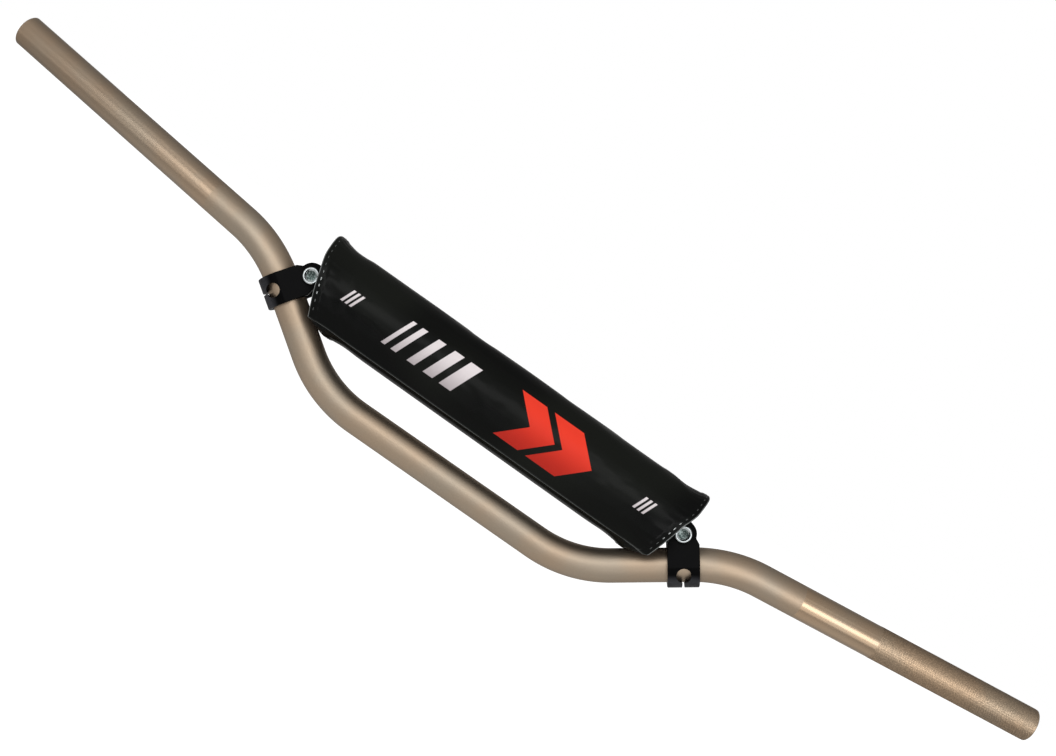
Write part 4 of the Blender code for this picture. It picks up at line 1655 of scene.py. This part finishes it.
    def relief(self, x: np.ndarray, angle: np.ndarray, reach: np.ndarray) -> np.ndarray:
        """Return how far the cover stands off its plain form, along the normal.

        It sums the pull-in past the foam's end, the flare of the stiff hem, the step of the
        folded hem, the dimples between stitches and long soft waves.

        Args:
            x: places along the bar.
            angle: section angles.
            reach: the half length at each angle.

        Returns:
            The stand-off at each point.
        """
        inset = reach - np.abs(x)
        height = np.sin(angle)
        upper = self.low_flare + (1.0 - self.low_flare) * smooth_step(*self.flare_band, height)
        flare = np.where(x < 0, *self.flares)
        flare = flare * (1.0 - smooth_step(0.0, self.flare_reach, inset)) * upper
        pull = -self.pull_depth * np.exp(-((inset - self.pull_inset) / self.pull_width) ** 2)
        fold = self.fold_depth * self.in_hem(inset, self.fold_run)
        stitch_line = np.exp(-((inset - self.stitch_inset) / self.seam_width) ** 2)
        around = angle * (self.section.half_depth + self.section.half_height) / 2
        turn = FULL_TURN * around / self.stitch_pitch
        seam = -self.seam_depth * stitch_line * (0.6 + 0.4 * np.cos(turn))
        pucker = (self.pucker_depth * np.cos(turn + 0.8 * np.sign(x))
                  * np.exp(-np.clip(inset - self.hem_width, 0.0, None) / self.pucker_reach)
                  * smooth_step(0.001, 0.006, inset))
        deep, shallow = self.wave_depths
        slow, quick = self.wave_turns
        waves = (deep * np.sin(x * slow + 2.1 * np.sin(angle * 2.0) + 0.7)
                 + shallow * np.sin(x * quick - 1.7 * angle + 1.9))
        waves = waves * smooth_step(0.0, self.wave_margin, inset)
        waves = waves * smooth_step(*self.calm_band, height)
        return flare + pull + fold + seam + pucker + waves

    def cover_middle(self, x_share: np.ndarray, angle: np.ndarray,
                     settled: np.ndarray | float = 0.0) -> tuple[np.ndarray, ...]:
        """Return the cover's middle surface and the distance in from its ends.

        Args:
            x_share: rows of -1 to 1 from end to end.
            angle: columns of section angles.
            settled: the move that the simulation gave to each point.

        Returns:
            Points, and each point's distance from its end.
        """
        offset = self.cover_offset(angle)
        base = self.section.at(angle, offset)
        reach = self.end_reach(base[None], np.sign(x_share)[:, None])
        x = x_share[:, None] * reach
        stand = self.relief(x, angle[None, :], reach) + settled
        curl = self.curl * smooth_step(self.cover_end - self.curl_run, self.cover_end, angle)
        section = self.section.at(np.broadcast_to(angle, x.shape), offset + stand + curl)
        return self.placed(x, section), reach - np.abs(x)

    def build_cover(self) -> bpy.types.Object:
        """Return the wrapped cover as one sheet with rounded edges and folded hems.

        Returns:
            The piece.
        """
        girth = self.girth(self.inner_edge, self.cover_end)
        spots = edge_samples(girth, self.cover_grid, self.thickness / 2, 1.0)
        fine = even_angles(self.section, self.inner_edge, self.cover_end, FINE_COUNT)
        angle = np.interp(spots, np.linspace(0.0, girth, FINE_COUNT), fine)
        length = 2 * self.top_half
        rows = edge_samples(length, self.cover_grid, self.thickness, self.end_closeness)
        rows = rows / length * 2 - 1
        settled = self.settle(rows, spots, girth, fine)
        middle, inset = self.cover_middle(rows, angle, settled)
        half = self.thickness / 2 * (1.0 + self.hem_swell * self.in_hem(inset, self.hem_run))
        half = half * edge_taper(inset, half)
        from_edge = np.minimum(spots, girth - spots)
        half = half * edge_taper(from_edge, self.thickness / 2)[None, :]
        edge = np.minimum(inset, from_edge[None, :])
        # Pale rim along the cut edges, weaker on the lip: partly backing, partly a painted
        # highlight.
        near, far = self.rim_band
        rim = 1.0 - smooth_step(self.thickness * near, self.thickness * far, edge)
        rim = rim * np.where(inset < from_edge[None, :], 1.0, self.lip_rim)
        skin = sheet_surface(middle, half, {"outside": (1.0, 0.0), "rim": (rim, rim)})
        return build_piece("cover", [skin], self.sheet_crease)

    def settle(self, shares: np.ndarray, spots: np.ndarray, girth: float,
               fine: np.ndarray) -> np.ndarray:
        """Return the settled move at a grid of places, from a simulation on a plainer grid.

        The hems, the lip, the inner edge and the underside, which the tapes close, are held.

        Args:
            shares: rows of -1 to 1 from end to end.
            spots: columns of distances round the section.
            girth: the cover's length round the section.
            fine: section angles, evenly spaced over the girth.

        Returns:
            The move at each place.
        """
        rows = np.linspace(-1.0, 1.0, self.cloth_grid[0])
        columns = np.linspace(0.0, girth, self.cloth_grid[1])
        angle = np.interp(columns, np.linspace(0.0, girth, len(fine)), fine)
        middle, inset = self.cover_middle(rows, angle)
        from_edge = np.minimum(columns, girth - columns)
        held = (from_edge < self.lip_hold) | (np.sin(angle) < self.taped_below)
        pinned = (inset < self.hem_width + self.hem_hold) | held[None, :]
        stand = ClothSettling().stand(middle, pinned)
        return spread(shares, rows) @ stand @ spread(spots, columns).T

    def girth(self, start: float, end: float) -> float:
        """Return the cover's length round the section.

        Args:
            start: the first section angle.
            end: the last one.

        Returns:
            The length.
        """
        angle = np.linspace(start, end, FINE_COUNT)
        line = self.section.at(angle, self.cover_offset(angle))
        return float(np.linalg.norm(np.diff(line, axis=0), axis=1).sum())

    def build_stitches(self) -> bpy.types.Object:
        """Return the hems' stitches: short rounded threads that dip into the vinyl at each end.

        Returns:
            The piece.
        """
        start = self.inner_edge + self.first_stitch
        end = self.cover_end - self.last_stitch
        count = int(self.girth(start, end) / self.stitch_pitch)
        angles = even_angles(self.section, start, end, count)
        turn = self.stitch_length / self.stitch_pitch * np.gradient(angles)
        share = np.linspace(-0.5, 0.5, 9)
        fine = angles[:, None] + turn[:, None] * share[None, :]
        ring = np.linspace(0.0, FULL_TURN, 8, endpoint=False)
        surfaces = []
        for side in Side:
            flat = fine.ravel()
            base = self.section.at(flat, self.cover_offset(flat))
            reach = self.end_reach(base, side.value)
            x = side.value * (reach - self.stitch_inset)
            stand = self.relief(x, flat, reach)
            dip = np.cos(np.tile(share, count) * math.pi) ** 0.5
            lift = self.thickness * self.thread_lift * dip
            section = self.section.at(flat, self.cover_offset(flat) + stand + lift)
            line = self.placed(x, section).reshape(count, len(share), 3)
            heading = unit(np.gradient(line, axis=1))
            out = unit(np.cross(heading, X_AXIS))
            along = np.cross(out, heading)
            girth = self.stitch_radius * np.cos(share * math.pi * 0.98) ** 0.4
            spoke = (np.cos(ring)[None, None, :, None] * out[:, :, None, :]
                     + np.sin(ring)[None, None, :, None] * along[:, :, None, :])
            points = line[:, :, None, :] + spoke * girth[None, :, None, None]
            surfaces += [Surface(points[k]) for k in range(count)]
        return build_piece("hem_stitches", surfaces, math.pi)

    def foam_half(self, height: np.ndarray) -> np.ndarray:
        """Return the foam's half length, which leans out towards the top."""
        middle = self.bolt_x - self.foam_to_bolt
        return middle + height * math.tan(self.foam_lean)

    def build_foam(self) -> bpy.types.Object:
        """Return the foam core, slit at the back into its bore, its ends softly rounded.

        The outer and inner outlines run from the slit's upper side round to its lower side. The
        skin goes along the outside, in over one end, back through the bore and out over the
        other end, and the slit's two sides close it.

        Returns:
            The piece.
        """
        count = self.foam_grid
        half_slit = self.slit / 2
        centre = -self.above_crossbar
        outer_angle = even_angles(self.section, self.section.back_angle(centre + half_slit),
                                  FULL_TURN + self.section.back_angle(centre - half_slit), count)
        turn = math.asin(half_slit / self.bore)
        inner_angle = np.linspace(turn, FULL_TURN - turn, count)
        inner = np.stack([self.bore * np.cos(inner_angle),
                          self.bore * np.sin(inner_angle) + centre], axis=-1)
        bow = np.linspace(0.0, QUARTER_TURN, 5)
        insets = self.foam_rounding * (1 - np.sin(QUARTER_TURN - bow))
        backs = self.foam_rounding - self.foam_rounding * np.sin(bow)
        end_loops = [(inset, back, 0.0) for inset, back in zip(insets, backs)]
        end_loops += [(self.foam_rounding, 0.0, share) for share in (0.25, 0.5, 0.75, 1.0)]
        points = []
        for side, loops in ((1, end_loops), (-1, end_loops[::-1])):
            for inset, back, share in loops:
                shrunk = self.section.at(outer_angle, -inset - self.foam_slack)
                flat = shrunk + (inner - shrunk) * share
                reach = side * (self.foam_half(flat[:, 1]) - back)
                points.append(self.placed(reach, flat, 1.0 - share))
        skin = Surface(np.array(points), closed_rows=True)
        return build_piece("foam_core", [skin], self.foam_crease)

    def build_tape(self, name: str, layer: int) -> bpy.types.Object:
        """Return one strip of the closure under the lip.

        Args:
            name: the strip's name.
            layer: how many layers lie under it.

        Returns:
            The strip.
        """
        offset = self.layer_gap + self.thickness / 2 + layer * (self.thickness + self.layer_gap)
        half_length = self.bottom_half - self.tape_end
        angle = even_angles(self.section, self.inner_edge + self.tape_margin,
                            self.lip - self.tape_margin, self.tape_grid[1])
        line = self.section.at(angle, offset)
        run = run_along(line)
        x = edge_samples(2 * half_length, self.tape_grid[0], self.thickness / 2, 1.0)
        x = x - half_length
        shape = (len(x), len(angle))
        points = self.placed(np.broadcast_to(x[:, None], shape), np.broadcast_to(line, (*shape, 2)))
        half = self.thickness / 2 * edge_taper(half_length - np.abs(x), self.thickness / 2)[:, None]
        across = edge_taper(np.minimum(run, run[-1] - run), self.thickness / 2)[None, :]
        skin = sheet_surface(points, half * across, {"outside": (1.0, 0.0)})
        return build_piece(name, [skin], self.sheet_crease)

    def dress(self, vinyl: bpy.types.Material, foam: bpy.types.Material,
              tape: bpy.types.Material, thread: bpy.types.Material) -> None:
        """Args:
            vinyl: the cover's material.
            foam: the core's.
            tape: the tapes'.
            thread: the stitches'.
        """
        core = self.build_foam()
        place(core, "grey_foam", foam, "pad_foam")
        cover = self.build_cover()
        stitches = self.build_stitches()
        place(cover, "black_vinyl", vinyl, "pad_cover")
        place(stitches, "black_vinyl", thread)
        girth = self.girth(self.inner_edge, self.cover_end)
        long = 2 * self.top_half
        area = girth * (self.top_half + self.bottom_half) * 1.02
        min(area, girth * long)
        for layer, name in ((1, "hook_tape"), (2, "loop_tape")):
            strip = self.build_tape(name.replace("tape", "strip"), layer)
            place(strip, "closure_tape", tape, name)


WHITE = colour(1.0, 1.0, 1.0)


@dataclass(frozen=True)
class StageFinish(Finish):
    """Floor paper: pale, topped up to white for the camera, with the object's shadow on it."""

    base: tuple = colour(0.86, 0.86, 0.86)
    top_up: float = 0.6

    def draw(self, graph: Graph) -> None:
        """Draw the paper with its top-up for camera, glossy and transmission rays.

        Args:
            graph: the material's tree.
        """
        paper = graph.node("ShaderNodeBsdfDiffuse", None, {"Color": self.base}).signal()
        light = graph.node("ShaderNodeEmission", None,
                           {"Color": WHITE, "Strength": graph.shown_rays() * self.top_up})
        both = graph.node("ShaderNodeAddShader", None, {0: paper, 1: light.signal()})
        graph.node("ShaderNodeOutputMaterial", None, {"Surface": both.signal()})


@dataclass(frozen=True)
class CardFinish(Finish):
    """Grey card that only reflections see, toned towards its sides and its back."""

    middle: float = 0.0
    side: float = 0.0
    side_start: float = 0.5
    side_end: float = 0.8
    back_share: float = 1.0
    back_start: float = 0.0
    back_end: float = 0.5

    def draw(self, graph: Graph) -> None:
        """Draw the tone: a blend from middle to side over |x|, less towards the back over y.

        Args:
            graph: the material's tree.
        """
        x, y, _ = graph.axes()
        sideways = x.magnitude().rise(self.side_start, self.side_end)
        tone = self.middle + (self.side - self.middle) * sideways
        tone = tone * (1.0 - (1.0 - self.back_share) * y.rise(self.back_start, self.back_end))
        card = graph.node("ShaderNodeEmission", None,
                          {"Color": colour(1.0, 0.98, 0.96), "Strength": tone})
        graph.node("ShaderNodeOutputMaterial", None, {"Surface": card.signal()})


def level(x: tuple, y: tuple, height: float) -> list[tuple]:
    """Return the corners of a level card over a range of x and a range of y."""
    return [(x[0], y[0], height), (x[1], y[0], height), (x[1], y[1], height), (x[0], y[1], height)]


def upright(x: tuple, y: float, z: tuple) -> list[tuple]:
    """Return the corners of a card that stands along the bar, over a range of x and of z."""
    return [(x[0], y, z[0]), (x[1], y, z[0]), (x[1], y, z[1]), (x[0], y, z[1])]


@dataclass
class Studio:
    """Camera, lamps, world, floor and flags."""

    focal_pixels: float = 1900.0
    image_width: float = 1056.0
    sensor: float = 36.0
    turn: tuple = (-0.001, 0.0404, 0.6058)
    shift_in_camera: tuple = (-0.0530827, 0.0654939, 1.2245562)
    floor_z: float = -0.45
    floor_half: float = 60.0
    ceiling_z: float = 1.05
    ambient: float = 0.62

    def add_camera(self) -> None:
        """Add the camera of the photograph, rolled as it was held.

        Before the turn, the camera's right is +X, its down is -Z and its view is +Y. A point P is
        seen at R P + shift, with R the turn after that layout.
        """
        turn = Vector(self.turn)
        layout = Matrix(((1, 0, 0), (0, 0, -1), (0, 1, 0)))
        seen = Matrix.Rotation(turn.length, 3, turn.normalized()) @ layout
        data = bpy.data.cameras.new("camera")
        data.sensor_width = self.sensor
        data.lens = self.focal_pixels / self.image_width * self.sensor
        data.clip_start = 0.01
        camera = add_object("camera", data)
        flip = Matrix.Diagonal((1, -1, -1))
        place_at = -(seen.transposed() @ Vector(self.shift_in_camera))
        camera.matrix_world = Matrix.Translation(place_at) @ (seen.transposed() @ flip).to_4x4()
        bpy.context.scene.camera = camera

    def add_softbox(self, name: str, place_at: tuple, target: tuple, size: tuple,
                    radiance: float) -> None:
        """Add a rectangular lamp of a given radiance.

        Args:
            name: the lamp's name.
            place_at: where it hangs.
            target: the point it faces.
            size: its width and height.
            radiance: how bright its face is, as a share of white.
        """
        data = bpy.data.lights.new(name, "AREA")
        data.shape = "RECTANGLE"
        data.size, data.size_y = size
        data.energy = radiance * math.pi * size[0] * size[1]
        lamp = add_object(name, data)
        away = Vector(place_at) - Vector(target)
        lamp.location = place_at
        lamp.rotation_euler = away.to_track_quat("Z", "Y").to_euler()
        lamp.visible_camera = False

    def add_card(self, name: str, corners: list[tuple], finish: Finish) -> bpy.types.Object:
        """Add a flat staged card through four corners.

        Args:
            name: the card's name.
            corners: its four corners in order.
            finish: what it is painted with.

        Returns:
            The card.
        """
        mesh = bpy.data.meshes.new(name)
        mesh.from_pydata(corners, [], [(0, 1, 2, 3)])
        mesh.materials.append(finish.material())
        card = add_object(name, mesh)
        return card

    def add_floor(self) -> None:
        """Add the wide pale floor."""
        reach = (-self.floor_half, self.floor_half)
        self.add_card("floor", level(reach, reach, self.floor_z), StageFinish("floor paper"))

    def add_cards(self) -> None:
        """Hang the cards that shape the metal's reflections: a floor, a ceiling and a back.

        One more stands beyond the key's left end, two stand beside the camera, two lie or lean
        low in front, and two carry the ceiling forward over the bar's ends.
        """
        low, high, wide, near, far = self.floor_z + 0.01, self.ceiling_z, 3.0, -1.4, 2.2
        front, eaves, lens = -1.5, -0.75, -1.3
        across = (-wide, wide)
        cards = [
            (CardFinish("floor card", 0.85, 0.50, back_share=0.6), level(across, (near, far), low)),
            (CardFinish("ceiling card", 0.62, 0.62, back_share=0.5, back_start=-0.6, back_end=0.9),
             level(across, (eaves, far), high)),
            (CardFinish("back card", 0.33, 0.33), upright(across, far, (low, high))),
            (CardFinish("left end card", 0.32, 0.32), upright((-wide, -1.3), front, (low, high))),
            (CardFinish("left ceiling wing", 2.2, 0.5, side_start=0.9, side_end=1.2),
             level((-wide, -0.62), (front, eaves), high)),
            (CardFinish("left floor reflector", 2.0, 0.7, side_start=0.95, side_end=1.25),
             level((-1.4, -0.85), (near, -0.55), low + 0.01)),
            (CardFinish("right ceiling wing", 0.6, 0.6), level((0.95, wide), (front, eaves), high)),
            (CardFinish("right reflector card", 1.55, 1.55),
             [(0.55, -1.38, -0.20), (1.40, -1.38, -0.20), (1.40, -0.60, -0.43),
              (0.55, -0.60, -0.43)]),
            (CardFinish("left camera card", 0.35, 0.35),
             [(-0.60, lens, -0.20), (-0.14, lens, -0.20), (-0.30, lens, 0.16),
              (-0.60, lens, 0.16)]),
            (CardFinish("right camera card", 0.35, 0.35),
             [(0.24, lens, -0.20), (0.60, lens, -0.20), (0.60, lens, 0.16), (0.30, lens, 0.16)]),
        ]
        for finish, corners in cards:
            card = self.add_card(finish.name, corners, finish)
            for rays in ("camera", "diffuse", "transmission", "shadow"):
                setattr(card, f"visible_{rays}", False)

    def add_world(self) -> None:
        """Add the white world, which lights at a plain level and shows as white."""
        world = bpy.data.worlds.new("studio")
        world.use_nodes = True
        graph = Graph(world.node_tree)
        strength = self.ambient + (1.0 - self.ambient) * graph.shown_rays()
        sky = graph.node("ShaderNodeBackground", None, {"Color": WHITE, "Strength": strength})
        graph.node("ShaderNodeOutputWorld", None, {"Surface": sky.signal()})
        bpy.context.scene.world = world

    def build(self) -> None:
        """Set the whole studio up."""
        self.add_camera()
        self.add_world()
        self.add_floor()
        self.add_cards()
        for side, place_at, target, size, radiance in (
                ("key", (0.0, -1.45, 0.50), (0.0, 0.0, 0.03), (1.4, 0.62), 1.9),
                ("right", (1.04, -1.45, 0.13), (0.2, 0.0, 0.05), (0.70, 0.72), 2.9),
                ("left", (-1.00, -1.45, 0.20), (-0.2, 0.0, 0.05), (0.46, 0.90), 3.5)):
            self.add_softbox(f"{side} softbox", place_at, target, size, radiance)
        bpy.context.scene.view_settings.view_transform = "Standard"


@dataclass
class Clamps:
    """Where the clamps hold the riser, from the same sizes as the solids."""

    path: BarPath
    along_riser: float = 0.0728
    bolt_offset: float = 0.0205

    @property
    def bolt_x(self) -> float:
        """Return the bolts' distance from the middle."""
        angle = self.path.riser_angle
        return (self.path.half_span + self.along_riser * math.cos(angle)
                - self.bolt_offset * math.sin(angle))

    @property
    def bolt_z(self) -> float:
        """Return the bolts' height."""
        angle = self.path.riser_angle
        return self.along_riser * math.sin(angle) + self.bolt_offset * math.cos(angle)

    def dress(self, nodes: dict[str, bpy.types.Object], black: bpy.types.Material) -> None:
        """Put fine copies of both clamps on the part."""
        for side in Side:
            node = f"crossbar_clamp_{side.label}"
            place(fine_copy(nodes[node], f"strap_clamp_{side.label}"),
                  "black_anodised_aluminium", black, node)


def main() -> None:
    """Build the pieces in order and dress the part."""
    logging.basicConfig(level=logging.INFO, format="%(message)s")
    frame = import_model()
    nodes = frame["nodes"]
    Studio().build()
    path = BarPath()
    tube = Tube(path)
    place(tube.build(), "bronze_anodised_aluminium", tube.finish().material(), "handlebar_tube")
    clamps = Clamps(path)
    black = StrapFinish("black anodised clamp", path.half_span, path.riser_angle).material()
    clamps.dress(nodes, black)
    silver = PlainMetalFinish("drawn aluminium", colour(0.72, 0.73, 0.74), 0.3,
                              stretch=(0.03, 1.0, 1.0)).material()
    place(fine_copy(nodes["crossbar"], "cross_brace"), "natural_aluminium", silver, "crossbar")
    zinc = ZincFinish("bright zinc", clamps.bolt_x, clamps.bolt_z).material()
    nylon = PlainMetalFinish("white nylon", colour(0.75, 0.75, 0.71), 0.5, metallic=0.0).material()
    for side in Side:
        ClampFasteners(side, clamps.bolt_x, clamps.bolt_z).dress(zinc, nylon)
    pad = BarPad(clamps.bolt_x, clamps.bolt_z, path)
    vinyl = VinylFinish("printed black vinyl", middle=pad.section.middle_z, askew=pad.askew)
    pad.dress(vinyl.material(), FoamFinish("grey foam").material(),
              TapeFinish("closure tape").material(), ThreadFinish("pale thread").material())


if __name__ == "__main__":
    main()
